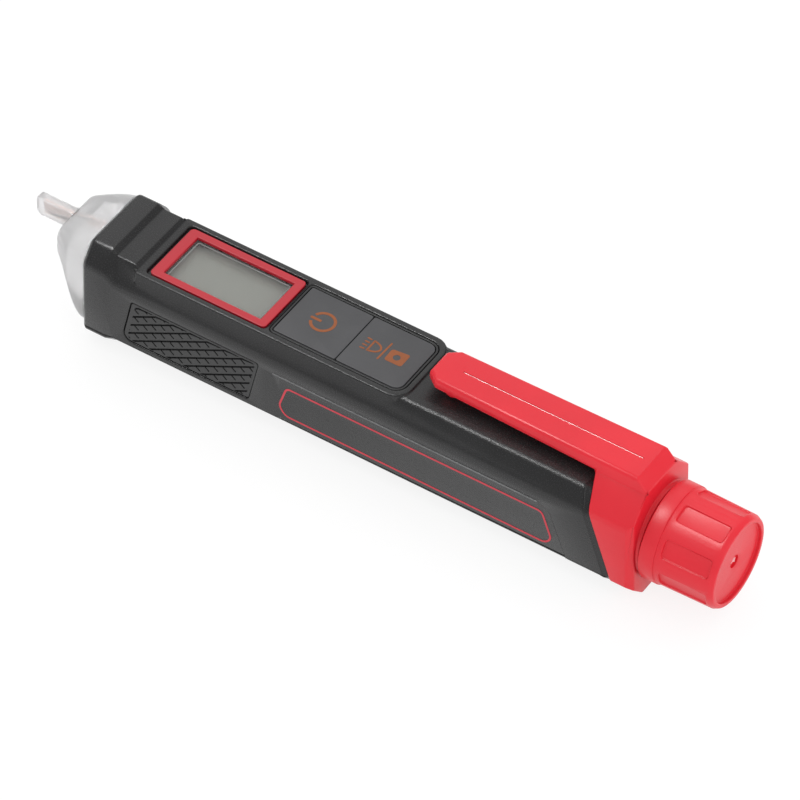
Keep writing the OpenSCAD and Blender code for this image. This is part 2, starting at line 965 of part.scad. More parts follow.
module display_connectors() {
    len = view_len * zebra_len_share;
    color([0.2, 0.2, 0.22])
        for (side = [-1, 1])
            translate([x_bezel + bezel_len / 2 + view_shift - len / 2,
                    side * (view_w / 2 + lcd_border[1] - zebra_inset - zebra_w / 2) - zebra_w / 2,
                    board_top])
                cube([len, zebra_w, lcd_z - board_top]);
}

module key_frame() {
    color([0.22, 0.22, 0.23])
        difference() {
            union() {
                translate([0, 0, roof_z - rim_flange_t])
                    linear_extrude(deck_top - rim_sunk - roof_z + rim_flange_t)
                        keys_outline(key_gap + rim_t);
                translate([0, 0, roof_z - rim_flange_t])
                    linear_extrude(rim_flange_t)
                        keys_outline(rim_hole_gap + rim_flange);
            }
            translate([0, 0, roof_z - rim_flange_t - over])
                linear_extrude(collar_h)
                    keys_outline(key_gap);
        }
}

// One key: plate with a retaining flange on its outer sides, hollow over its switch
module key(x0, len, front_r, rear_r, flange_front, flange_rear) {
    x_mid = x0 + len / 2;
    difference() {
        union() {
            translate([0, 0, key_low])
                linear_extrude(key_top - key_low)
                    plate(x0, len, key_w, front_r, rear_r);
            translate([0, 0, key_low])
                linear_extrude(key_flange_t)
                    plate(x0 - flange_front, len + flange_front + flange_rear, key_w + 2 * key_flange,
                        front_r + flange_front, rear_r + flange_rear);
        }
        translate([x0 + wall, -key_w / 2 + wall, key_low - over])
            cube([len - 2 * wall, key_w - 2 * wall, key_skin_z - key_low + over]);
    }
    translate([x_mid, 0, plunger_top])
        cylinder(r = nib_r, h = nib_h + over);
}

module power_key() {
    color([0.38, 0.38, 0.39])
        key(x_key, power_key_len, key_front_r, key_front_r, key_flange, 0);
}

module torch_key() {
    color([0.38, 0.38, 0.39])
        key(x_torch_key, torch_key_len, key_front_r, key_corner_r, 0, key_flange);
}

// Switch body with a well for its plunger
module switch_at(x) {
    difference() {
        translate([x - switch_w / 2, -switch_w / 2, board_top])
            cube([switch_w, switch_w, switch_h]);
        translate([x, 0, plunger_top - plunger_root - key_travel - plunger_gap])
            cylinder(r = plunger_r + plunger_gap, h = switch_h);
    }
}

module plunger_at(x) {
    translate([x, 0, plunger_top - plunger_root])
        cylinder(r = plunger_r, h = plunger_root);
}

module power_switch() {
    color([0.15, 0.15, 0.16])
        switch_at(x_key + power_key_len / 2);
}

module torch_switch() {
    color([0.15, 0.15, 0.16])
        switch_at(x_torch_key + torch_key_len / 2);
}

module power_plunger() {
    color([0.85, 0.85, 0.82])
        plunger_at(x_key + power_key_len / 2);
}

module torch_plunger() {
    color([0.85, 0.85, 0.82])
        plunger_at(x_torch_key + torch_key_len / 2);
}

module main_board() {
    color([0.1, 0.35, 0.2])
        difference() {
            translate([x_board, -board_w / 2, board_low])
                cube([board_len, board_w, board_t]);
            for (x = post_sites, side = [-1, 1])
                translate([x, side * post_y, board_low - over])
                    cylinder(r = post_hole_r, h = board_t + 2 * over);
        }
}

module led_board() {
    color([0.1, 0.35, 0.2])
        along_x(x_led_board, x_board)
            offset(delta = -wall - led_board_gap)
                body_section();
}

// Round lamp that looks forward from the small board
module led(r, len, y, z) {
    translate([x_led_board, y, z])
        rotate([0, -90, 0]) {
            cylinder(r = r + led_flange_r, h = led_flange_t);
            cylinder(r = r, h = len);
            translate([0, 0, len])
                sphere(r);
        }
}

module torch_led() {
    color([0.95, 0.95, 0.9, 0.8])
        led(torch_led_r, torch_led_len, 0, torch_led_z);
}

module alarm_led() {
    color([0.85, 0.15, 0.15, 0.8])
        led(alarm_led_r, alarm_led_len, alarm_led_y, alarm_led_z);
}

module main_chip() {
    color([0.12, 0.12, 0.13])
        translate([x_board + chip_share * (board_room - chip_w), -chip_w / 2, board_low - chip_t])
            cube([chip_w, chip_w, chip_t]);
}

// Small parts soldered under the board, and one round capacitor
module board_parts() {
    color([0.55, 0.5, 0.42]) {
        for (i = [0 : len(part_sizes) - 1])
            translate([x_board + part_shares[i] * (board_room - part_sizes[i][0]), part_side[i],
                    board_low - part_sizes[i][2]])
                cube(part_sizes[i]);
        translate([x_board + can_cap_r + can_cap_share * (board_room - 2 * can_cap_r), can_cap_side,
                board_low - can_cap_h])
            cylinder(r = can_cap_r, h = can_cap_h);
    }
}

module buzzer() {
    color([0.1, 0.1, 0.1])
        translate([x_board + buzzer_r + buzzer_share * (board_room - 2 * buzzer_r), 0,
                board_low - buzzer_h])
            difference() {
                cylinder(r = buzzer_r, h = buzzer_h);
                translate([0, 0, -over])
                    cylinder(r = buzzer_hole_r, h = buzzer_hole_depth + over);
            }
}

// Tube for the cells, closed at its front but for the tab, and open towards the board
module battery_sleeve() {
    color([0.75, 0.76, 0.74])
        difference() {
            on_axis(x_sleeve)
                cylinder(r = sleeve_out_r, h = x_sleeve_end - x_sleeve);
            on_axis(x_sleeve + sleeve_end_t)
                cylinder(r = sleeve_r, h = pen_len);
            translate([x_sleeve - over, -sleeve_out_r, sleeve_open_z])
                cube([x_sleeve_open - x_sleeve + over, 2 * sleeve_out_r, collar_h]);
        }
}

module front_contact() {
    color([0.82, 0.78, 0.6]) {
        on_axis(x_cell_front - front_contact_t)
            cylinder(r = cell_d / 2 - sleeve_gap, h = front_contact_t);
        translate([x_cell_front - front_contact_t, -contact_tab_w / 2, axis_z])
            cube([front_contact_t, contact_tab_w, board_low - axis_z]);
    }
}

// One cell with its raised terminal towards the nose
module cell(x0) {
    on_axis(x0) {
        cylinder(r = nub_r, h = nub_h + over);
        translate([0, 0, nub_h])
            rotate_extrude()
                polygon([
                    [0, 0],
                    [cell_d / 2 - cell_round, 0],
                    [cell_d / 2, cell_round],
                    [cell_d / 2, cell_len - nub_h - cell_round - cell_gap],
                    [cell_d / 2 - cell_round, cell_len - nub_h - cell_gap],
                    [0, cell_len - nub_h - cell_gap]
                ]);
    }
}

module battery_front() {
    color([0.75, 0.6, 0.25])
        cell(x_cell_front);
}

module battery_rear() {
    color([0.75, 0.6, 0.25])
        cell(x_cell_mid);
}

// Rear housing: leaning joint in front, leaning bevelled face at the rear
module tail_shape() {
    lean_angle = atan(tail_lean / collar_h);
    intersection() {
        along_x(x_joint - over, x_back + 2 * tail_lean)
            tail_skin();
        translate([x_back, 0, collar_h])
            rotate([0, -lean_angle, 0])
                translate([0, 0, -2 * collar_h])
                    linear_extrude(4 * collar_h)
                        polygon([
                            [-2 * tail_len, -body_w],
                            [-tail_bevel, -body_w],
                            [-tail_bevel, -body_w / 2],
                            [0, -body_w / 2 + tail_bevel],
                            [0, body_w / 2 - tail_bevel],
                            [-tail_bevel, body_w / 2],
                            [-tail_bevel, body_w],
                            [-2 * tail_len, body_w]
                        ]);
    }
}

// Plan of the clip, drawn in by a bevel
module clip_plan(bevel) {
    offset(delta = -bevel)
        polygon([
            [x_clip, clip_nose_w / 2],
            [x_clip + clip_nose_len, clip_tip_w / 2],
            [x_back + clip_bevel, clip_w / 2],
            [x_back + clip_bevel, -clip_w / 2],
            [x_clip + clip_nose_len, -clip_tip_w / 2],
            [x_clip, -clip_nose_w / 2]
        ]);
}

// Side profile of the clip: thin at its free end, rooted in the tail, sloping down at the rear
module clip_profile() {
    z_tip = clip_top - clip_t;
    z_root = z_tip - clip_root_drop;
    polygon([
        [x_clip - over, z_tip],
        [x_clip - over, clip_top],
        [x_back - clip_slope_len, clip_top],
        [x_back, collar_h],
        [x_back, collar_h - tail_top_bevel],
        [x_joint + clip_t, collar_h - tail_top_bevel],
        [x_joint + clip_t / 2, z_root]
    ]);
}

module clip() {
    intersection() {
        hull() {
            translate([0, 0, collar_h / 2])
                linear_extrude(clip_top - clip_bevel - collar_h / 2)
                    clip_plan(0);
            translate([0, 0, clip_top - slab])
                linear_extrude(slab)
                    clip_plan(clip_bevel);
        }
        across_y(2 * clip_w)
            clip_profile();
    }
    translate([x_clip + clip_nub_inset, 0, body_top + clip_nub_gap + clip_nub_r])
        rotate([90, 0, 0])
            cylinder(r = clip_nub_r, h = clip_tip_w - 2 * clip_nub_r, center = true);
}

module tail_housing() {
    color([0.86, 0.27, 0.32])
        difference() {
            union() {
                difference() {
                    tail_shape();
                    ahead_of_joint(0);
                }
                along_x(x_joint - spigot_len, x_joint + joint_lean + over)
                    offset(delta = -wall - lip_gap)
                        body_section();
                clip();
                on_axis(x_joint + joint_lean)
                    cylinder(r = boss_r, h = x_cap - boss_gap - x_joint - joint_lean);
                on_axis(x_joint + joint_lean)
                    cylinder(r = neck_r, h = x_cap - boss_gap + neck_len - x_joint - joint_lean);
            }
            along_x(x_joint - spigot_len - over, x_joint + joint_lean)
                offset(delta = -wall - lip_gap - spigot_t)
                    body_section();
            on_axis(x_joint - over)
                cylinder(r = sleeve_out_r + neck_hole_gap, h = pen_len);
            translate([x_clip + spine_front, -spine_w / 2, clip_top - spine_depth])
                cube([x_back - spine_rear - x_clip - spine_front, spine_w, spine_depth + over]);
        }
}

// Flat-floored flutes round the cap
module flutes() {
    flute_len = cap_len - cap_ring_len - flute_front - flute_rear;
    pitch_angle = 360 / flute_count;
    flute_w = 2 * cap_r * sin(pitch_angle * flute_width_share / 2);
    for (i = [0 : flute_count - 1])
        rotate([0, 0, flute_phase + i * pitch_angle])
            translate([cap_r - flute_depth, 0, cap_ring_len + flute_front + flute_len / 2])
                rotate([0, 90, 0])
                    linear_extrude(cap_r)
                        rounded(flute_corner_r)
                            square([flute_len, flute_w], center = true);
}

module cap() {
    cap_back_r = cap_r - cap_taper;
    recess_r = cap_back_r - cap_rim_bevel - cap_rim_w + cap_rim_bevel / 2;
    contact_slot_z = cap_len - cap_end_t - 2 * contact_gap - contact_t;
    color([0.88, 0.29, 0.33])
        on_axis(x_cap)
            difference() {
                rotate_extrude($fn = 96)
                    polygon([
                        [0, 0],
                        [cap_ring_r, 0],
                        [cap_ring_r, cap_ring_len],
                        [cap_r, cap_ring_len],
                        [cap_back_r, cap_len - cap_rim_bevel],
                        [cap_back_r - cap_rim_bevel / 2, cap_len],
                        [recess_r, cap_len],
                        [recess_r, cap_len - cap_recess],
                        [cap_dimple_r, cap_len - cap_recess],
                        [0, cap_len - cap_recess - cap_dimple_depth]
                    ]);
                flutes();
                translate([0, 0, -over])
                    cylinder(r = cap_seal_r, h = cap_seal_depth + over);
                cylinder(r = neck_r + cap_bore_gap, h = cap_bore_depth);
                cylinder(r = catch_r, h = cap_len - cap_end_t);
                translate([0, 0, cap_bore_depth - over])
                    cylinder(r = cap_inner_r, h = contact_slot_z - catch_t - cap_bore_depth + over);
                translate([0, 0, contact_slot_z])
                    cylinder(r = cap_inner_r, h = contact_t + 2 * contact_gap);
            }
}

module cap_contact() {
    color([0.8, 0.8, 0.78])
        on_axis(x_contact)
            cylinder(r = contact_r, h = contact_t);
}

// Ring of the spring's wire at turn share t, from 0 at the cell to 1 at the contact
function spring_r(t) = spring_front_r + (spring_rear_r - spring_front_r) * t;
function spring_z(t) = spring_wire_r + (spring_len - 2 * spring_wire_r) * t;
function spring_ring(t) = [
    for (k = [0 : spring_sides - 1])
        let (a = 360 * spring_turns * t, b = 360 * k / spring_sides)
            [(spring_r(t) + spring_wire_r * cos(b)) * cos(a),
             (spring_r(t) + spring_wire_r * cos(b)) * sin(a),
             spring_z(t) + spring_wire_r * sin(b)]
];

module battery_spring() {
    steps = spring_turns * spring_rings;
    points = [for (i = [0 : steps]) each spring_ring(i / steps)];
    sides = [
        for (i = [0 : steps - 1], k = [0 : spring_sides - 1])
            let (a = i * spring_sides + k, b = i * spring_sides + (k + 1) % spring_sides)
                each [[a, b, b + spring_sides], [a, b + spring_sides, a + spring_sides]]
    ];
    front_end = [for (k = [1 : spring_sides - 2]) [0, k + 1, k]];
    last = steps * spring_sides;
    rear_end = [for (k = [1 : spring_sides - 2]) [last, last + k, last + k + 1]];
    color([0.78, 0.79, 0.8])
        on_axis(x_contact - spring_len)
            polyhedron(points, concat(sides, front_end, rear_end));
}

module cap_seal() {
    color([0.12, 0.12, 0.12])
        on_axis(x_cap - boss_gap + seal_r)
            rotate_extrude()
                translate([neck_r + seal_r, 0])
                    circle(seal_r);
}

nose_lens();
sensor_strip();
upper_shell();
lower_shell();
grip_left();
grip_right();
display_bezel();
display_window();
lcd_panel();
key_frame();
power_key();
torch_key();
tail_housing();
cap();
torch_led();
alarm_led();
led_board();
main_board();
display_connectors();
power_switch();
torch_switch();
power_plunger();
torch_plunger();
main_chip();
board_parts();
buzzer();
battery_sleeve();
front_contact();
battery_front();
battery_rear();
battery_spring();
cap_contact();
cap_seal();
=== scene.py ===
import math

import bmesh
import bpy
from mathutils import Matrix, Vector
from mathutils.bvhtree import BVHTree


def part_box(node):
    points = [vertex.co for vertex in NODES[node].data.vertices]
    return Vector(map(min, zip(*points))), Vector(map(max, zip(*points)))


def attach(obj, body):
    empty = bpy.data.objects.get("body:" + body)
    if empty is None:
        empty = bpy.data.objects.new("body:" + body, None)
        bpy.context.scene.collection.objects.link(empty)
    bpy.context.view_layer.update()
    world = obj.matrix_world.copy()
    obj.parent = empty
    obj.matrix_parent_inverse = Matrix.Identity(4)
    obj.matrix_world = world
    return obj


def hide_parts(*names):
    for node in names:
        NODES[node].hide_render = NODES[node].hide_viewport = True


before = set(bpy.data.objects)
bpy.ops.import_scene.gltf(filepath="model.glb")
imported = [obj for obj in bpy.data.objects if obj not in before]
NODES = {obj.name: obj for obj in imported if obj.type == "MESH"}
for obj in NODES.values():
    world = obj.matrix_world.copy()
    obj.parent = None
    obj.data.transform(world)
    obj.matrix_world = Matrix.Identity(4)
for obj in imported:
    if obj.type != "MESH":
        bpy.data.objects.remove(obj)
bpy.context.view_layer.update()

bl_info = {
    "name": "Voltage Tester Pen",
    "version": (1, 0, 0),
    "blender": (4, 5, 0),
    "location": "3D View > Sidebar > Tester Pen",
    "description": "Dresses the voltage tester pen with moulded shells, printed keys and a fluted cap",
    "category": "Object",
}

MM = 0.001


def low(node):
    """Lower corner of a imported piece."""
    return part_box(node)[0]


def high(node):
    """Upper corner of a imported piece."""
    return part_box(node)[1]


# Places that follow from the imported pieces
AXIS_Z = (low("cap").z + high("cap").z) / 2
SIDE_Y = high("grip_left").y
KEY_TOP = high("power_key").z
TAIL_TOP = high("tail_housing").z
TAIL_REAR = low("cap").x - 1.6 * MM

# Directions, and cuts that end the flat faces of a merged copy on the pen's middle planes
UP = (0, 0, 1)
LENGTHWISE_CUT = ((0, 0, 0), (0, 1, 0))
LEVEL_CUT = ((0, 0, AXIS_Z), UP)

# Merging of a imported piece: gap between vertices, and angle in degrees between faces
WELD_GAP = 0.002 * MM
FLAT_DEGREES = 0.6

# Radius on the edges of single mouldings
GRIP_ROUND = 0.05 * MM
TAIL_ROUND = 0.32 * MM
CAP_ROUND = 0.2 * MM
TEAR_ROUND = 0.05 * MM
NOSE_ROUND = 0.3 * MM
RIM_ROUND = 0.1 * MM

# Label recess in each side: its front ramps in, its top is a small lip
LABEL_Y = SIDE_Y - 0.4 * MM
LABEL_TOP = 16.0 * MM
RAMP_FRONT = high("grip_left").x + 1.6 * MM
RAMP_LEN = 3.2 * MM
RAMP_TOP = 16.4 * MM
RAMP_INSIDE = 10.2 * MM
LIP_FRONT, LIP_REAR = -17.8 * MM, 42.0 * MM
LIP_R = 0.15 * MM
LIP_SINK = 0.05 * MM

# Corners of the red line in that recess, in millimetres along the pen and up
PANEL_OUTLINE = (
    (-16.73, 7.79),
    (-15.11, 5.56),
    (44.11, 5.51),
    (45.57, 7.32),
    (43.09, 13.72),
    (-14.96, 13.52),
)
PANEL_MIDDLE = (15.0, 10.0)
PANEL_REACH = 90.0 * MM
PANEL_CORNER_R = 1.0 * MM

# Engraved line along the clip, with a rib in it whose pale pink is a painted highlight
SPINE_DEPTH = 0.3 * MM
SPINE_HALF = 0.5 * MM
RIB_FRONT = low("tail_housing").x + 5.9 * MM
RIB_REAR = TAIL_REAR - 4.3 * MM
RIB_R = 0.12 * MM
RIB_SINK = 0.02 * MM
RIB_SHIFT = -0.03 * MM

# Dimple in the cap's end, and the torn gate mark in it. A tear has its place across and up from
# the axis and its length in millimetres, and its turn in radians.
PIT_FLOOR = high("cap").x - 1.4 * MM
PIT_R = 1.4 * MM
PIT_REACH = 1.0 * MM
TEAR_STAND = 0.1 * MM
TEAR_SECTION = (0.36 * MM, 0.24 * MM)
TEARS = ((-0.3, 0.35, 1.3, 0.5), (0.1, -0.1, 1.1, -0.7), (0.4, 0.15, 0.9, 1.2))

# Thread on the neck
NECK_R = 8.2 * MM
THREAD_START = low("cap").x + 2.0 * MM
THREAD_TURNS = 2
THREAD_STEPS = 48
THREAD_HALF_W = 0.45 * MM
THREAD_ROOT = NECK_R - 0.1 * MM
THREAD_TIP = NECK_R + 0.2 * MM

# Step inside the display's frame, in pale grey as a painted highlight on the window's edge
STEP_FRONT, STEP_REAR = -46.0 * MM, -24.5 * MM
STEP_NEAR, STEP_FAR = -5.8 * MM, 5.35 * MM
STEP_W = 0.2 * MM
STEP_H = 0.06 * MM
STEP_CORNER_R = 0.3 * MM

# Printed ring with a gap and a bar on the front key
POWER_SHIFT = Vector((0.1 * MM, 0.1 * MM))
RING_R, RING_W, RING_GAP = 2.7 * MM, 0.62 * MM, 0.95 * MM
BAR_FRONT, BAR_REAR = 2.8 * MM, 0.35 * MM

# Printed lamp, slash and box on the rear key, in millimetres from the middle of the symbol
TORCH_SHIFT = -1.05 * MM
HEAD_FRONT, HEAD_REAR, HEAD_HALF = -3.1, -0.55, 1.6
HEAD_LINE_W = 0.4 * MM
RAY_ROWS = (-1.5, -0.5, 0.5, 1.5)
RAY_FAR, RAY_NEAR = HEAD_FRONT - 1.5, HEAD_FRONT - 0.4
RAY_CLOSING = 0.92
RAY_W = 0.34 * MM
SLASH_ENDS = ((0.15, 2.8), (0.0, -2.4))
SLASH_W = 0.38 * MM
BOX_CORNERS = ((1.0, 1.5), (4.9, 1.95), (4.9, -1.65), (1.1, -1.7))
BOX_CORNER_R = 0.5 * MM
HOLE_PLACE = (2.95, 0)
HOLE_R = 0.75 * MM

# Corner radius of a printed stroke as a share of its width
STROKE_ROUND_SHARE = 0.45

# A vertex that a bevel carries further off than this share of its width is drawn back
OVERSHOOT_SHARE = 0.75

# Grain: share of the cells in its height, and where noise turns into specks and clouds
CELL_SHARE = 0.6
SPECK_FROM, SPECK_TO = 0.56, 0.72
CLOUD_FROM, CLOUD_TO = 0.36, 0.66

# Studio: lamps as name, place, watts, size and whether they only gleam on surfaces
FLOOR_SIZE = 6.0
FLOOR_DROP = 0.05 * MM
FLOOR_GLOW = 1.06
FLOOR_GLOW_SHARE = 0.8
SKY_LIGHT = 0.98
SKY_GLEAM = 0.33
LAMPS = (
    ("back_lamp", (-0.55, 0.88, 1.08), 4.6, 1.7, False),
    ("top_lamp", (-0.45, -0.3, 1.3), 13.0, 0.55, True),
    ("end_lamp", (1.1, -0.1, 0.5), 2.0, 1.0, False),
)
LAMP_TARGET = (0, 0, 0.01)

# Camera at the photo's viewing angle, 1.3 m away with a long lens
CAMERA_PLACE = (0.478525840, -0.766176171, 0.932040579)
CAMERA_TURN = (0.774920958, -0.023003433, 0.577728075)
CAMERA_LENS = 302.808248
CAMERA_SENSOR = 36.0
CAMERA_CLIP = (0.05, 20.0)


# Sizes and colours that a user may change
def length_property(name, description, default):
    return bpy.props.FloatProperty(name=name, description=description, default=default, min=0.0,
                                   unit="LENGTH")


def colour_property(name, description, red, green, blue):
    return bpy.props.FloatVectorProperty(name=name, description=description, subtype="COLOR", size=4,
                                         default=(red, green, blue, 1.0), min=0.0, max=1.0)


class PenShape(bpy.types.PropertyGroup):
    edge_round: length_property(
        "Edge Rounding", "Radius on the edges of the black shells", 0.28 * MM)
    fine_round: length_property(
        "Fine Rounding", "Radius on the edges of keys and display frame", 0.12 * MM)
    thread_pitch: length_property(
        "Thread Pitch", "Distance between the turns of the cap's thread", 2.0 * MM)
    print_lift: length_property(
        "Print Thickness", "How far printed ink stands above the plastic", 0.03 * MM)
    outline_width: length_property(
        "Outline Width", "Width of the red line round the side panels", 0.42 * MM)


class PenColours(bpy.types.PropertyGroup):
    black: colour_property(
        "Black Plastic", "Colour of the housing", 0.0175, 0.0175, 0.018)
    keys: colour_property(
        "Keys", "Colour of the two keys", 0.062, 0.062, 0.066)
    red: colour_property(
        "Red Plastic", "Colour of tail, clip and cap", 0.725, 0.016, 0.030)
    frame_red: colour_property(
        "Display Frame", "Colour of the display frame", 0.49, 0.010, 0.024)
    print_orange: colour_property(
        "Key Print", "Colour of the symbols on the keys", 0.315, 0.075, 0.006)
    outline_red: colour_property(
        "Panel Outline", "Colour of the line round the side panels", 0.66, 0.040, 0.065)
    display: colour_property(
        "Display", "Colour of the blank display", 0.159, 0.166, 0.135)


def shape():
    return bpy.context.scene.pen_shape


def colours():
    return bpy.context.scene.pen_colours


# Small modelling helpers
def deselect():
    if bpy.context.object and bpy.context.object.mode != "OBJECT":
        bpy.ops.object.mode_set(mode="OBJECT")
    bpy.ops.object.select_all(action="DESELECT")


def only(obj):
    deselect()
    obj.select_set(True)
    bpy.context.view_layer.objects.active = obj
    return obj


def edit(obj, kind="FACE"):
    """Opens a piece in edit mode, with all of it selected."""
    only(obj)
    bpy.ops.object.mode_set(mode="EDIT")
    bpy.ops.mesh.select_mode(type=kind)
    bpy.ops.mesh.select_all(action="SELECT")


def done(obj):
    bpy.ops.object.mode_set(mode="OBJECT")
    return obj


def added(name):
    """The primitive that an operator has just added, under its own name, with its place in its mesh."""
    obj = bpy.context.object
    obj.name = name
    obj.data.name = name
    bpy.ops.object.transform_apply(location=True, rotation=True, scale=True)
    return obj


def joined(name, pieces):
    deselect()
    for piece in pieces:
        piece.select_set(True)
    bpy.context.view_layer.objects.active = pieces[0]
    bpy.ops.object.join()
    obj = bpy.context.object
    obj.name = name
    obj.data.name = name
    return obj


def copy_of(node, name, cuts=()):
    """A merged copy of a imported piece, its flat areas joined to single faces that end at the cuts."""
    obj = bpy.data.objects.new(name, NODES[node].data.copy())
    bpy.context.scene.collection.objects.link(obj)
    obj.data.materials.clear()
    edit(obj)
    bpy.ops.mesh.remove_doubles(threshold=WELD_GAP)
    bpy.ops.mesh.customdata_custom_splitnormals_clear()
    bpy.ops.mesh.mark_seam(clear=True)
    for place, normal in cuts:
        bpy.ops.mesh.select_all(action="SELECT")
        bpy.ops.mesh.bisect(plane_co=place, plane_no=normal)
        bpy.ops.mesh.mark_seam(clear=False)
    bpy.ops.mesh.select_all(action="SELECT")
    bpy.ops.mesh.dissolve_limited(angle_limit=math.radians(FLAT_DEGREES), delimit={"SEAM"})
    bpy.ops.mesh.mark_seam(clear=True)
    done(obj)
    split_rings(obj)
    return obj


def split_rings(obj):
    """Cuts faces that meet themselves round a hole to triangles, because a bevel tears them."""
    mesh = bmesh.new()
    mesh.from_mesh(obj.data)
    rings = [
        face for face in mesh.faces
        if len(set(face.verts)) < len(face.verts) or len(set(face.edges)) < len(face.edges)
    ]
    bmesh.ops.triangulate(mesh, faces=rings)
    mesh.to_mesh(obj.data)
    mesh.free()


def apply_all(obj):
    only(obj)
    for m in list(obj.modifiers):
        bpy.ops.object.modifier_apply(modifier=m.name)
    return obj


def bevel(obj, width, segments=2, angle=26.0, skip=None):
    """Rounds the edges sharper than angle, apart from those whose middle passes the test in skip."""
    before = bmesh.new()
    before.from_mesh(obj.data)
    skin = BVHTree.FromBMesh(before)
    weight = before.edges.layers.float.new("bevel_weight_edge")
    for edge in before.edges:
        sharp = len(edge.link_faces) == 2 and edge.calc_face_angle(0.0) > math.radians(angle)
        middle = (edge.verts[0].co + edge.verts[1].co) / 2
        edge[weight] = 1.0 if sharp and not (skip and skip(middle)) else 0.0
    before.to_mesh(obj.data)
    before.free()
    m = obj.modifiers.new("Rounded edges", "BEVEL")
    m.width = width
    m.segments = segments
    m.limit_method = "WEIGHT"
    m.use_clamp_overlap = False
    m.miter_outer = "MITER_ARC"
    m.loop_slide = False
    apply_all(obj)
    for v in obj.data.vertices:
        near, _, _, gap = skin.find_nearest(v.co)
        if gap > OVERSHOOT_SHARE * width:
            v.co = near
    return obj


def cut_away(obj, tool):
    """Cuts the shape of tool out of a piece and throws the tool away."""
    m = obj.modifiers.new("Cut", "BOOLEAN")
    m.operation = "DIFFERENCE"
    m.solver = "EXACT"
    m.object = tool
    apply_all(obj)
    mesh = tool.data
    bpy.data.objects.remove(tool)
    bpy.data.meshes.remove(mesh)
    return obj


def smooth(obj, angle=32.0):
    only(obj)
    bpy.ops.object.shade_smooth_by_angle(angle=math.radians(angle))
    return obj


def moulded(node, name, cuts, width, segments=3, angle=26.0, skip=None):
    """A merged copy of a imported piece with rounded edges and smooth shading."""
    return smooth(bevel(copy_of(node, name, cuts), width, segments, angle, skip))


def outward(obj):
    edit(obj)
    bpy.ops.mesh.normals_make_consistent(inside=False)
    return done(obj)


def facing(normal):
    """Rotation of a primitive made in X and Y so that it faces along normal."""
    return Vector(normal).to_track_quat("Z", "Y").to_euler()


def sheet(name, centre, size, normal=UP):
    """Flat square of a given size, facing along normal."""
    deselect()
    bpy.ops.mesh.primitive_plane_add(size=size, location=centre, rotation=facing(normal))
    return added(name)


def disc(name, centre, radius, sides):
    """Flat filled circle, facing up."""
    deselect()
    bpy.ops.mesh.primitive_circle_add(vertices=sides, radius=radius, fill_type="NGON", location=centre)
    return added(name)


def rod(name, middle, radius, length, sides):
    """Round bar along the pen."""
    deselect()
    bpy.ops.mesh.primitive_cylinder_add(vertices=sides, radius=radius, depth=length, location=middle,
                                        rotation=(0, math.pi / 2, 0))
    return added(name)


def trim(obj, points, normal):
    """Cuts a flat face down to a convex outline, given in order round it."""
    middle = sum((Vector(p) for p in points), Vector()) / len(points)
    edit(obj)
    for a, b in zip(points, points[1:] + points[:1]):
        a, b = Vector(a), Vector(b)
        out = (b - a).cross(Vector(normal)).normalized()
        if out.dot(middle - a) > 0:
            out = -out
        bpy.ops.mesh.select_all(action="SELECT")
        bpy.ops.mesh.bisect(plane_co=a, plane_no=out, clear_outer=True)
    return done(obj)


def round_corners(obj, radius, steps=4):
    """Rounds the corners of a flat face."""
    edit(obj, "VERT")
    bpy.ops.mesh.bevel(offset=radius, segments=steps, affect="VERTICES")
    return done(obj)


def ribbon(obj, width):
    """Leaves a band of even width along the edge of a flat face."""
    edit(obj)
    bpy.ops.mesh.inset(thickness=width, use_even_offset=True)
    bpy.ops.mesh.delete(type="FACE")
    return done(obj)


def lift(obj, normal, height):
    """Gives a flat shape its thickness."""
    edit(obj)
    step = Vector(normal) * height
    bpy.ops.mesh.extrude_region_move(TRANSFORM_OT_translate={"value": step})
    bpy.ops.mesh.select_all(action="SELECT")
    bpy.ops.mesh.normals_make_consistent(inside=False)
    return done(obj)


def stroke(name, a, b, width):
    """Straight printed stroke with round ends from a to b on a key."""
    a, b = Vector((*a, KEY_TOP)), Vector((*b, KEY_TOP))
    side = (b - a).normalized().cross(Vector(UP)) * width / 2
    obj = sheet(name, (a + b) / 2, 2 * (b - a).length + 2 * width)
    trim(obj, [a - side, a + side, b + side, b - side], UP)
    return round_corners(obj, width * STROKE_ROUND_SHARE)


def dress(obj, body, slot, material, *stands_for):
    """Gives a piece its material and its body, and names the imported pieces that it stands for."""
    obj.data.materials.clear()
    obj.data.materials.append(material)
    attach(obj, body)
    if stands_for:
        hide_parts(*stands_for)


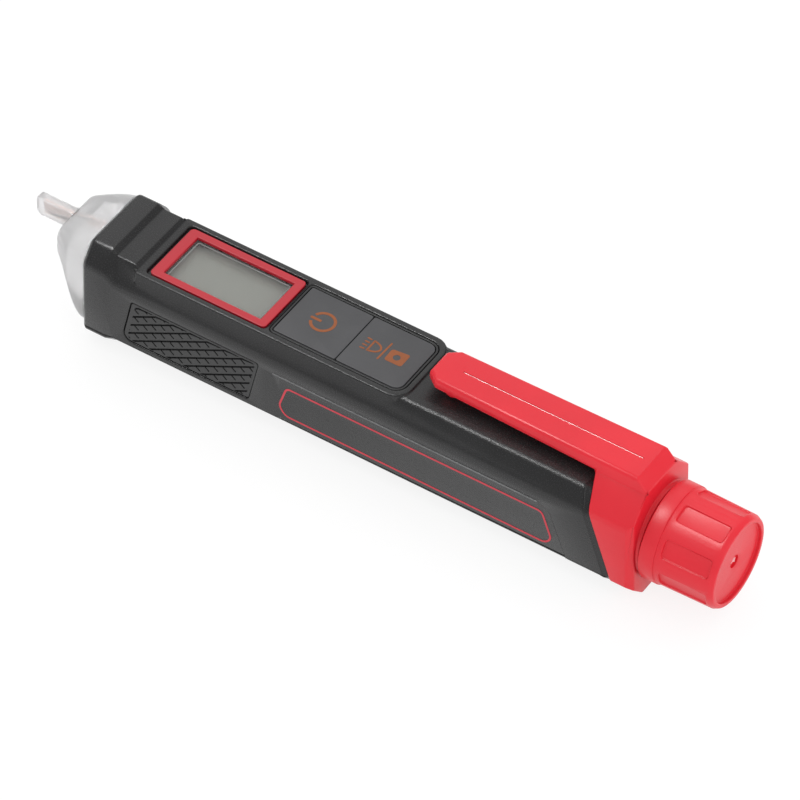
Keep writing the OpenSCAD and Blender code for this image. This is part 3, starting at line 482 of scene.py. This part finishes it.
# Materials
def grain_group():
    """Spark-eroded grain: a height for the bump, a fine speck mask and a broad cloud mask."""
    g = bpy.data.node_groups.get("Moulded grain")
    if g:
        return g
    g = bpy.data.node_groups.new("Moulded grain", "ShaderNodeTree")
    face = g.interface
    for name in ("Grains per Metre", "Clouds per Metre"):
        face.new_socket(name=name, in_out="INPUT", socket_type="NodeSocketFloat")
    for name in ("Height", "Speck", "Cloud"):
        face.new_socket(name=name, in_out="OUTPUT", socket_type="NodeSocketFloat")
    n, link = g.nodes, g.links.new
    inside, outside = n.new("NodeGroupInput"), n.new("NodeGroupOutput")
    place = n.new("ShaderNodeTexCoord")
    fine = n.new("ShaderNodeTexNoise")
    fine.inputs["Detail"].default_value = 3.0
    fine.inputs["Roughness"].default_value = 0.62
    cells = n.new("ShaderNodeTexVoronoi")
    cells.feature = "SMOOTH_F1"
    broad = n.new("ShaderNodeTexNoise")
    broad.inputs["Detail"].default_value = 4.0
    height = n.new("ShaderNodeMath")
    height.operation = "ADD"
    cell_height = n.new("ShaderNodeMath")
    cell_height.operation = "MULTIPLY"
    cell_height.inputs[1].default_value = CELL_SHARE
    speck = n.new("ShaderNodeMapRange")
    speck.inputs["From Min"].default_value = SPECK_FROM
    speck.inputs["From Max"].default_value = SPECK_TO
    cloud = n.new("ShaderNodeMapRange")
    cloud.inputs["From Min"].default_value = CLOUD_FROM
    cloud.inputs["From Max"].default_value = CLOUD_TO
    scales = ((fine, "Grains per Metre"), (cells, "Grains per Metre"), (broad, "Clouds per Metre"))
    for texture, scale in scales:
        link(place.outputs["Object"], texture.inputs["Vector"])
        link(inside.outputs[scale], texture.inputs["Scale"])
    link(cells.outputs["Distance"], cell_height.inputs[0])
    link(fine.outputs["Fac"], height.inputs[0])
    link(cell_height.outputs[0], height.inputs[1])
    link(height.outputs[0], outside.inputs["Height"])
    link(fine.outputs["Fac"], speck.inputs["Value"])
    link(speck.outputs["Result"], outside.inputs["Speck"])
    link(broad.outputs["Fac"], cloud.inputs["Value"])
    link(cloud.outputs["Result"], outside.inputs["Cloud"])
    return g


def plastic(name, colour, rough=0.45, rough_spread=0.08, tint=1.18, grain=4200.0, clouds=90.0,
            depth=0.02 * MM, strength=0.35, specular=0.5):
    """A moulded plastic: grained, a little cloudy in colour and gloss. Grain and clouds count per metre."""
    mat = bpy.data.materials.get(name)
    if mat:
        return mat
    mat = bpy.data.materials.new(name)
    mat.use_nodes = True
    n, link = mat.node_tree.nodes, mat.node_tree.links.new
    bsdf = n["Principled BSDF"]
    g = n.new("ShaderNodeGroup")
    g.node_tree = grain_group()
    g.inputs["Grains per Metre"].default_value = grain
    g.inputs["Clouds per Metre"].default_value = clouds
    mix = n.new("ShaderNodeMix")
    mix.data_type = "RGBA"
    mix.inputs["A"].default_value = colour
    mix.inputs["B"].default_value = (*[min(1.0, c * tint) for c in colour[:3]], 1.0)
    shine = n.new("ShaderNodeMapRange")
    shine.inputs["To Min"].default_value = rough
    shine.inputs["To Max"].default_value = rough + rough_spread
    bump = n.new("ShaderNodeBump")
    bump.inputs["Distance"].default_value = depth
    bump.inputs["Strength"].default_value = strength
    link(g.outputs["Cloud"], mix.inputs["Factor"])
    link(mix.outputs["Result"], bsdf.inputs["Base Color"])
    link(g.outputs["Speck"], shine.inputs["Value"])
    link(shine.outputs["Result"], bsdf.inputs["Roughness"])
    link(g.outputs["Height"], bump.inputs["Height"])
    link(bump.outputs["Normal"], bsdf.inputs["Normal"])
    bsdf.inputs["Specular IOR Level"].default_value = specular
    return mat


def black_plastic():
    """The housing's coarse, silky grain."""
    return plastic("Black moulded plastic", colours().black, rough=0.25, rough_spread=0.2, tint=1.25,
                   grain=4400.0, clouds=70.0, depth=0.05 * MM, strength=0.9)


def pad_plastic():
    return plastic("Grip pad plastic", colours().black, rough=0.34, rough_spread=0.16, tint=1.25,
                   grain=4400.0, clouds=70.0, depth=0.05 * MM, strength=0.8)


def highlight_lip_plastic():
    """Lighter grey on the lip of the label recess: a painted highlight along its edge."""
    return plastic("Lip with painted highlight", (0.13, 0.133, 0.135, 1.0), rough=0.3, rough_spread=0.1, tint=1.1,
                   grain=4400.0, clouds=70.0, depth=0.01 * MM, strength=0.3)


def red_plastic(name="Red moulded plastic", rough=0.31):
    """Tail and clip, and a duller one for the cap."""
    return plastic(name, colours().red, rough=rough, rough_spread=0.14, tint=1.1, grain=4400.0,
                   clouds=60.0, depth=0.03 * MM, strength=0.5, specular=0.38)


# Pale pink rib in the clip's engraved line: a painted highlight
def highlight_rib_plastic():
    return plastic("Red rib with painted highlight", (0.92, 0.42, 0.44, 1.0), rough=0.15, rough_spread=0.05, tint=1.1,
                   grain=4400.0, clouds=60.0, depth=0.01 * MM, strength=0.2, specular=1.0)


def torn_plastic():
    """Stretched, whitened red where the cap was torn off its gate."""
    return plastic("Torn red plastic", (0.93, 0.45, 0.47, 1.0), rough=0.3, rough_spread=0.1, tint=1.2,
                   grain=9000.0, clouds=400.0, depth=0.02 * MM, strength=0.6)


def frame_plastic():
    return plastic("Red display frame", colours().frame_red, rough=0.4, rough_spread=0.05, tint=1.05,
                   grain=5200.0, clouds=80.0, depth=0.01 * MM, strength=0.2)


# Pale grey on the window's step: a painted highlight on the edge of the clear window
def window_edge_highlight_plastic():
    return plastic("Window edge with painted highlight", (0.27, 0.28, 0.27, 1.0), rough=0.3, rough_spread=0.05,
                   tint=1.0, grain=3000.0, clouds=60.0, depth=0.002 * MM, strength=0.1)


def display_glass():
    return plastic("Blank display glass", colours().display, rough=0.35, rough_spread=0.02, tint=1.0,
                   grain=3000.0, clouds=40.0, depth=0.002 * MM, strength=0.1)


def window_plastic():
    """Thin clear plate, nearly see-through, with a plain gloss."""
    mat = plastic("Clear window", (0.97, 0.98, 0.98, 1.0), rough=0.1, rough_spread=0.02, tint=1.0,
                  grain=900.0, clouds=40.0, depth=0.002 * MM, strength=0.1)
    mat.node_tree.nodes["Principled BSDF"].inputs["Alpha"].default_value = 0.07
    return mat


def ink(name, colour):
    """Thin printed ink, a little uneven."""
    return plastic(name, colour, rough=0.5, rough_spread=0.1, tint=0.9, grain=6000.0, clouds=500.0,
                   depth=0.004 * MM, strength=0.2)


def clear(name, colour, rough, transmission):
    """A clear or frosted plastic with slow ripples in its surface."""
    mat = plastic(name, colour, rough=rough, rough_spread=0.1, tint=1.0, grain=1500.0, clouds=120.0,
                  depth=0.02 * MM, strength=0.2)
    bsdf = mat.node_tree.nodes["Principled BSDF"]
    bsdf.inputs["Transmission Weight"].default_value = transmission
    bsdf.inputs["IOR"].default_value = 1.49
    return mat


def metal(name, colour, rough=0.3):
    mat = plastic(name, colour, rough=rough, rough_spread=0.15, tint=0.9, grain=9000.0, clouds=300.0,
                  depth=0.004 * MM, strength=0.3)
    mat.node_tree.nodes["Principled BSDF"].inputs["Metallic"].default_value = 1.0
    return mat


# Operators, one for each piece or group
class TESTER_OT_housing(bpy.types.Operator):
    """Black housing shells with eased edges and spark-eroded grain"""

    bl_idname = "tester.housing"
    bl_label = "Housing Shells"

    def shells(self):
        middle = (low("grip_left") + high("grip_left")) / 2
        cuts = (LENGTHWISE_CUT, (middle, UP), (middle, (1, 0, 0)))

        def ramp(place):
            """The soft front of the label recess, which keeps its shallow edges."""
            along = RAMP_FRONT < place.x < RAMP_FRONT + RAMP_LEN
            return along and place.z < RAMP_TOP and abs(place.y) > RAMP_INSIDE

        for node, name in (("upper_shell", "housing_top"), ("lower_shell", "housing_base")):
            obj = moulded(node, name, cuts, shape().edge_round, angle=30.0, skip=ramp)
            dress(obj, "housing", "black_shell", black_plastic(), node)

    def panel_outline(self, side, name):
        """Red printed line in the label recess of one side."""
        y = side * LABEL_Y
        corners = [Vector((x * MM, y, z * MM)) for x, z in PANEL_OUTLINE]
        middle = (PANEL_MIDDLE[0] * MM, y, PANEL_MIDDLE[1] * MM)
        obj = sheet(f"panel_outline_{name}", middle, PANEL_REACH, (0, side, 0))
        trim(obj, corners, (0, side, 0))
        round_corners(obj, PANEL_CORNER_R)
        ribbon(obj, shape().outline_width)
        lift(obj, (0, side, 0), shape().print_lift)
        dress(obj, "housing", None, ink("Panel outline ink", colours().outline_red))

    def label_lip(self, side, name):
        """Rounded lip along the top of the label recess of one side, in lighter grey as a painted
        highlight.
        """
        middle = ((LIP_FRONT + LIP_REAR) / 2, side * (SIDE_Y - LIP_SINK), LABEL_TOP)
        lip = smooth(rod(f"label_lip_{name}", middle, LIP_R, LIP_REAR - LIP_FRONT, 12))
        # The lip's lighter grey is a painted highlight
        dress(lip, "housing", "black_shell", highlight_lip_plastic())

    def execute(self, context):
        self.shells()
        for dress_side in (self.panel_outline, self.label_lip):
            dress_side(1, "left")
            dress_side(-1, "right")
        return {"FINISHED"}


class TESTER_OT_grips(bpy.types.Operator):
    """Cross-hatched pads in both sides"""

    bl_idname = "tester.grips"
    bl_label = "Grip Pads"

    def execute(self, context):
        for side in ("left", "right"):
            node = f"grip_{side}"
            middle = (low(node) + high(node)) / 2
            cuts = ((middle, UP), (middle, (1, 0, 0)))
            obj = moulded(node, f"grip_pad_{side}", cuts, GRIP_ROUND, 1, 40.0)
            dress(obj, "housing", "grip_pad", pad_plastic(), node)
        return {"FINISHED"}


class TESTER_OT_tail(bpy.types.Operator):
    """Red tail with its pocket clip"""

    bl_idname = "tester.tail"
    bl_label = "Tail and Clip"

    def execute(self, context):
        def engraved(place):
            """The line along the clip, whose edges stay crisp."""
            return place.z > TAIL_TOP - SPINE_DEPTH and abs(place.y) < SPINE_HALF

        obj = moulded("tail_housing", "tail_and_clip", (LEVEL_CUT,), TAIL_ROUND, skip=engraved)
        dress(obj, "housing", "red_shell", red_plastic(), "tail_housing")

        middle = ((RIB_FRONT + RIB_REAR) / 2, RIB_SHIFT, TAIL_TOP - RIB_R - RIB_SINK)
        # Rib in the engraved line, pale pink as a painted highlight
        rib = smooth(rod("clip_line_rib", middle, RIB_R, RIB_REAR - RIB_FRONT, 16))
        dress(rib, "housing", "red_shell", highlight_rib_plastic())
        return {"FINISHED"}


class TESTER_OT_cap(bpy.types.Operator):
    """Fluted battery cap"""

    bl_idname = "tester.cap"
    bl_label = "Battery Cap"

    def gate_mark(self):
        """Torn remains of the moulding gate in the middle of the dimple."""
        thick, wide = TEAR_SECTION
        tears = []
        for y, z, length, turn in TEARS:
            deselect()
            bpy.ops.mesh.primitive_cube_add(
                size=1.0, location=(PIT_FLOOR + TEAR_STAND, y * MM, AXIS_Z + z * MM),
                rotation=(turn, 0, 0), scale=(thick, length * MM, wide))
            tears.append(added("tear"))
        mark = bevel(joined("gate_mark", tears), TEAR_ROUND, 2)
        dress(smooth(mark), "cap", "red_cap", torn_plastic())

    def execute(self, context):
        obj = moulded("cap", "battery_cap", (LEVEL_CUT,), CAP_ROUND)
        cut_away(obj, rod("pit", (PIT_FLOOR + PIT_REACH / 2, 0, AXIS_Z), PIT_R, PIT_REACH, 40))
        smooth(obj)
        dress(obj, "cap", "red_cap", red_plastic("Red cap plastic", 0.36), "cap")
        self.gate_mark()
        return {"FINISHED"}


class TESTER_OT_thread(bpy.types.Operator):
    """Thread on the neck under the cap"""

    bl_idname = "tester.thread"
    bl_label = "Neck Thread"

    def profile(self):
        """Triangle with its foot in the neck, whose middle lies at a third of its height."""
        height = THREAD_TIP - THREAD_ROOT
        middle = Vector((THREAD_START, 0, AXIS_Z + THREAD_ROOT + height / 3))
        deselect()
        bpy.ops.mesh.primitive_circle_add(vertices=3, radius=THREAD_HALF_W, location=middle,
                                          rotation=(math.pi / 2, 0, 0))
        obj = added("neck_thread")
        edit(obj, "VERT")
        flat = height / (1.5 * THREAD_HALF_W)
        bpy.ops.transform.resize(value=(1, 1, flat), center_override=middle)
        return done(obj)

    def execute(self, context):
        obj = self.profile()
        centre = bpy.data.objects.new("axis", None)
        context.scene.collection.objects.link(centre)
        centre.location = (0, 0, AXIS_Z)
        m = obj.modifiers.new("Thread", "SCREW")
        m.axis = "X"
        m.screw_offset = shape().thread_pitch
        m.iterations = THREAD_TURNS
        m.steps = THREAD_STEPS
        m.render_steps = THREAD_STEPS
        m.use_merge_vertices = False
        m.object = centre
        apply_all(obj)
        bpy.data.objects.remove(centre)
        smooth(outward(obj), 40.0)
        dress(obj, "housing", "red_shell", red_plastic())
        return {"FINISHED"}


class TESTER_OT_nose(bpy.types.Operator):
    """Frosted clear nose and blade"""

    bl_idname = "tester.nose"
    bl_label = "Nose and Blade"

    def execute(self, context):
        obj = bevel(copy_of("nose_lens", "nose_moulding", (LEVEL_CUT,)), NOSE_ROUND, 3)
        smooth(obj, 45.0)
        frosted = clear("Frosted clear plastic", (0.97, 0.965, 0.97, 1.0), rough=0.32, transmission=0.66)
        dress(obj, "housing", "clear_plastic", frosted, "nose_lens")
        return {"FINISHED"}


class TESTER_OT_display(bpy.types.Operator):
    """Red frame round the display, with the step of the window inside it in pale grey as a painted
    highlight
    """

    bl_idname = "tester.display"
    bl_label = "Display"

    def window_step(self):
        """Moulded step of the window, drawn as a pale grey line inside the frame: a painted highlight on
        the clear window's edge.
        """
        z = high("display_window").z
        corners = [Vector((x, y, z)) for x, y in ((STEP_FRONT, STEP_NEAR), (STEP_REAR, STEP_NEAR),
                                                  (STEP_REAR, STEP_FAR), (STEP_FRONT, STEP_FAR))]
        span = STEP_REAR - STEP_FRONT
        obj = sheet("window_step", ((STEP_FRONT + STEP_REAR) / 2, 0, z), 2 * span)
        trim(obj, corners, UP)
        round_corners(obj, STEP_CORNER_R, 3)
        ribbon(obj, STEP_W)
        lift(obj, UP, STEP_H)
        dress(obj, "housing", None, window_edge_highlight_plastic())

    def execute(self, context):
        width = shape().fine_round
        obj = moulded("display_bezel", "display_frame", (LENGTHWISE_CUT,), width, angle=40.0)
        dress(obj, "housing", "red_frame", frame_plastic(), "display_bezel")
        self.window_step()
        return {"FINISHED"}


class TESTER_OT_keys(bpy.types.Operator):
    """Two flush keys with printed symbols, in their thin rim"""

    bl_idname = "tester.keys"
    bl_label = "Keys"

    def power_icon(self):
        """Ring with a gap, and a bar through the gap towards the nose."""
        middle = (low("power_key") + high("power_key")) / 2
        x, y = middle.x + POWER_SHIFT.x, POWER_SHIFT.y
        ring = ribbon(disc("ring", (x, y, KEY_TOP), RING_R, 64), RING_W)
        only(ring)
        for face in ring.data.polygons:
            face.select = face.center.x < x and abs(face.center.y - y) < RING_GAP
        bpy.ops.object.mode_set(mode="EDIT")
        bpy.ops.mesh.select_mode(type="FACE")
        bpy.ops.mesh.delete(type="FACE")
        done(ring)
        bar = stroke("bar", (x - BAR_FRONT, y), (x - BAR_REAR, y), RING_W)
        return lift(joined("power_icon", [ring, bar]), UP, shape().print_lift)

    def torch_icon(self):
        """Lamp head with four rays, a slash, and a filled box with a plain round hole."""
        middle = ((low("torch_key") + high("torch_key")) / 2).x + TORCH_SHIFT

        def at(x, y):
            """A place on the key, in millimetres from the middle of the symbol."""
            return Vector((middle + x * MM, y * MM, KEY_TOP))

        def line(name, a, b, width):
            return stroke(name, at(*a).xy, at(*b).xy, width)

        foot = at(HEAD_FRONT, 0)
        head = disc("head", foot, HEAD_HALF * MM, 48)
        edit(head)
        longer = (HEAD_REAR - HEAD_FRONT) / HEAD_HALF
        bpy.ops.transform.resize(value=(longer, 1, 1), center_override=foot)
        done(head)
        trim(head, [at(HEAD_FRONT, 3), at(HEAD_FRONT, -3), at(3, -3), at(3, 3)], UP)
        ribbon(head, HEAD_LINE_W)
        rays = [line("ray", (RAY_FAR, y), (RAY_NEAR, y * RAY_CLOSING), RAY_W) for y in RAY_ROWS]
        slash = line("slash", *SLASH_ENDS, SLASH_W)
        flat = lift(joined("strokes", [head, *rays, slash]), UP, shape().print_lift)

        box = sheet("box", at(3, 0), 12 * MM)
        trim(box, [at(*corner) for corner in BOX_CORNERS], UP)
        round_corners(box, BOX_CORNER_R, 5)
        lift(box, UP, shape().print_lift)
        deselect()
        bpy.ops.mesh.primitive_cylinder_add(vertices=32, radius=HOLE_R, depth=1 * MM,
                                            location=at(*HOLE_PLACE))
        cut_away(box, added("hole"))
        return joined("torch_icon", [flat, box])

    def execute(self, context):
        rubber = plastic("Key rubber", colours().keys, rough=0.55)
        for node in ("power_key", "torch_key"):
            obj = moulded(node, f"{node}_cap", (LENGTHWISE_CUT,), shape().fine_round, angle=40.0)
            dress(obj, node, "key_rubber", rubber, node)
        orange = ink("Key print ink", colours().print_orange)
        dress(self.power_icon(), "power_key", None, orange)
        dress(self.torch_icon(), "torch_key", None, orange)
        rim = moulded("key_frame", "key_rim", (LENGTHWISE_CUT,), RIM_ROUND, 2, 40.0)
        rim_plastic = plastic("Key rim plastic", colours().black, rough=0.42)
        dress(rim, "housing", "key_rim", rim_plastic, "key_frame")
        return {"FINISHED"}


class TESTER_OT_inner_parts(bpy.types.Operator):
    """Finishes of the parts inside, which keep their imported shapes"""

    bl_idname = "tester.inner_parts"
    bl_label = "Inner Parts"

    def execute(self, context):
        board = plastic("Green board", (0.03, 0.18, 0.08, 1.0), rough=0.3)
        switch = plastic("Switch plastic", (0.02, 0.02, 0.02, 1.0), rough=0.4)
        ivory = plastic("Ivory plastic", (0.62, 0.58, 0.48, 1.0), rough=0.4)
        nickel = metal("Nickel contact", (0.72, 0.71, 0.68, 1.0), rough=0.25)
        jacket = metal("Cell jacket", (0.62, 0.42, 0.12, 1.0))
        finishes = {
            "sensor_strip": metal("Copper strip", (0.80, 0.45, 0.32, 1.0)),
            "lcd_panel": display_glass(),
            "torch_led": clear("White lamp lens", (0.95, 0.95, 0.9, 1.0), rough=0.1, transmission=0.9),
            "alarm_led": clear("Red lamp lens", (0.85, 0.1, 0.1, 1.0), rough=0.1, transmission=0.9),
            "led_board": board,
            "main_board": board,
            "display_connectors": plastic("Conductive rubber", (0.03, 0.03, 0.035, 1.0), rough=0.6),
            "power_switch": switch,
            "torch_switch": switch,
            "power_plunger": ivory,
            "torch_plunger": ivory,
            "main_chip": plastic("Chip resin", (0.015, 0.015, 0.016, 1.0), rough=0.5),
            "board_parts": metal("Tinned parts", (0.6, 0.55, 0.45, 1.0), rough=0.4),
            "buzzer": plastic("Buzzer plastic", (0.015, 0.015, 0.015, 1.0), rough=0.35),
            "battery_sleeve": plastic("Natural plastic", (0.5, 0.51, 0.5, 1.0), rough=0.5),
            "front_contact": nickel,
            "battery_front": jacket,
            "battery_rear": jacket,
            "battery_spring": metal("Spring wire", (0.75, 0.75, 0.76, 1.0), rough=0.25),
            "cap_contact": nickel,
            "cap_seal": plastic("Seal rubber", (0.02, 0.02, 0.02, 1.0), rough=0.6),
            "display_window": window_plastic(),
        }
        for node, mat in finishes.items():
            NODES[node].data.materials.clear()
            NODES[node].data.materials.append(mat)
        return {"FINISHED"}


class TESTER_OT_stage(bpy.types.Operator):
    """Pale floor, soft studio light and the camera"""

    bl_idname = "tester.stage"
    bl_label = "Stage"

    def either(self, tree, *sockets):
        """The largest of some masks."""
        result = sockets[0]
        for socket in sockets[1:]:
            larger = tree.nodes.new("ShaderNodeMath")
            larger.operation = "MAXIMUM"
            tree.links.new(result, larger.inputs[0])
            tree.links.new(socket, larger.inputs[1])
            result = larger.outputs[0]
        return result

    def floor(self):
        """Pale floor that keeps the pen's shadow and glows towards the camera, reflections and glass."""
        deselect()
        bpy.ops.mesh.primitive_plane_add(size=FLOOR_SIZE, location=(0, 0, -FLOOR_DROP))
        floor = added("floor")
        mat = bpy.data.materials.new("Pale floor")
        mat.use_nodes = True
        n, link = mat.node_tree.nodes, mat.node_tree.links.new
        n.remove(n["Principled BSDF"])
        diffuse = n.new("ShaderNodeBsdfDiffuse")
        diffuse.inputs["Color"].default_value = (0.86, 0.86, 0.86, 1.0)
        glow = n.new("ShaderNodeEmission")
        glow.inputs["Color"].default_value = (1, 1, 1, 1)
        glow.inputs["Strength"].default_value = FLOOR_GLOW
        path = n.new("ShaderNodeLightPath").outputs
        seen = self.either(mat.node_tree, path["Is Camera Ray"], path["Is Glossy Ray"],
                           path["Is Transmission Ray"])
        amount = n.new("ShaderNodeMath")
        amount.operation = "MULTIPLY"
        amount.inputs[1].default_value = FLOOR_GLOW_SHARE
        mix = n.new("ShaderNodeMixShader")
        link(seen, amount.inputs[0])
        link(amount.outputs[0], mix.inputs["Fac"])
        link(diffuse.outputs[0], mix.inputs[1])
        link(glow.outputs[0], mix.inputs[2])
        link(mix.outputs[0], n["Material Output"].inputs["Surface"])
        floor.data.materials.append(mat)

    def world(self, scene):
        """White towards the camera and through glass, plain light on surfaces, darker in reflections."""
        world = bpy.data.worlds.new("Studio")
        scene.world = world
        world.use_nodes = True
        n, link = world.node_tree.nodes, world.node_tree.links.new
        back = n["Background"]
        back.inputs["Color"].default_value = (1, 1, 1, 1)
        path = n.new("ShaderNodeLightPath").outputs
        soft = n.new("ShaderNodeMapRange")
        soft.inputs["To Min"].default_value = SKY_LIGHT
        soft.inputs["To Max"].default_value = SKY_GLEAM
        level = n.new("ShaderNodeMapRange")
        level.inputs["To Max"].default_value = 1.0
        link(path["Is Glossy Ray"], soft.inputs["Value"])
        link(soft.outputs["Result"], level.inputs["To Min"])
        seen = self.either(world.node_tree, path["Is Camera Ray"], path["Is Transmission Ray"])
        link(seen, level.inputs["Value"])
        link(level.outputs["Result"], back.inputs["Strength"])

    def lamp(self, name, place, power, size, gleam_only):
        """Round soft lamp that faces the pen."""
        data = bpy.data.lights.new(name, "AREA")
        data.shape = "DISK"
        data.size = size
        data.energy = power
        obj = bpy.data.objects.new(name, data)
        bpy.context.scene.collection.objects.link(obj)
        obj.location = place
        obj.rotation_mode = "QUATERNION"
        obj.rotation_quaternion = (Vector(LAMP_TARGET) - Vector(place)).to_track_quat("-Z", "Y")
        obj.visible_diffuse = not gleam_only

    def camera(self, scene):
        data = bpy.data.cameras.new("camera")
        data.lens = CAMERA_LENS
        data.sensor_width = CAMERA_SENSOR
        data.clip_start, data.clip_end = CAMERA_CLIP
        camera = bpy.data.objects.new("camera", data)
        scene.collection.objects.link(camera)
        camera.location = CAMERA_PLACE
        camera.rotation_euler = CAMERA_TURN
        scene.camera = camera

    def execute(self, context):
        self.floor()
        self.world(context.scene)
        for lamp in LAMPS:
            self.lamp(*lamp)
        self.camera(context.scene)
        context.scene.view_settings.view_transform = "Standard"
        return {"FINISHED"}


STEPS = (
    TESTER_OT_housing,
    TESTER_OT_grips,
    TESTER_OT_tail,
    TESTER_OT_cap,
    TESTER_OT_thread,
    TESTER_OT_nose,
    TESTER_OT_display,
    TESTER_OT_keys,
    TESTER_OT_inner_parts,
    TESTER_OT_stage,
)


class TESTER_PT_panel(bpy.types.Panel):
    """Lists the pieces of the tester pen"""

    bl_idname = "TESTER_PT_panel"
    bl_label = "Tester Pen"
    bl_space_type = "VIEW_3D"
    bl_region_type = "UI"
    bl_category = "Tester Pen"

    def draw(self, context):
        for group in (context.scene.pen_shape, context.scene.pen_colours):
            box = self.layout.box()
            for prop in group.bl_rna.properties:
                if prop.identifier not in ("rna_type", "name"):
                    box.prop(group, prop.identifier)
        for step in STEPS:
            self.layout.operator(step.bl_idname)


CLASSES = (PenShape, PenColours, *STEPS, TESTER_PT_panel)


def register():
    for c in CLASSES:
        bpy.utils.register_class(c)
    bpy.types.Scene.pen_shape = bpy.props.PointerProperty(type=PenShape)
    bpy.types.Scene.pen_colours = bpy.props.PointerProperty(type=PenColours)


def unregister():
    del bpy.types.Scene.pen_shape
    del bpy.types.Scene.pen_colours
    for c in reversed(CLASSES):
        bpy.utils.unregister_class(c)


def main():
    register()
    for step in STEPS:
        family, name = step.bl_idname.split(".")
        getattr(getattr(bpy.ops, family), name)()
    deselect()


if __name__ == "__main__":
    main()
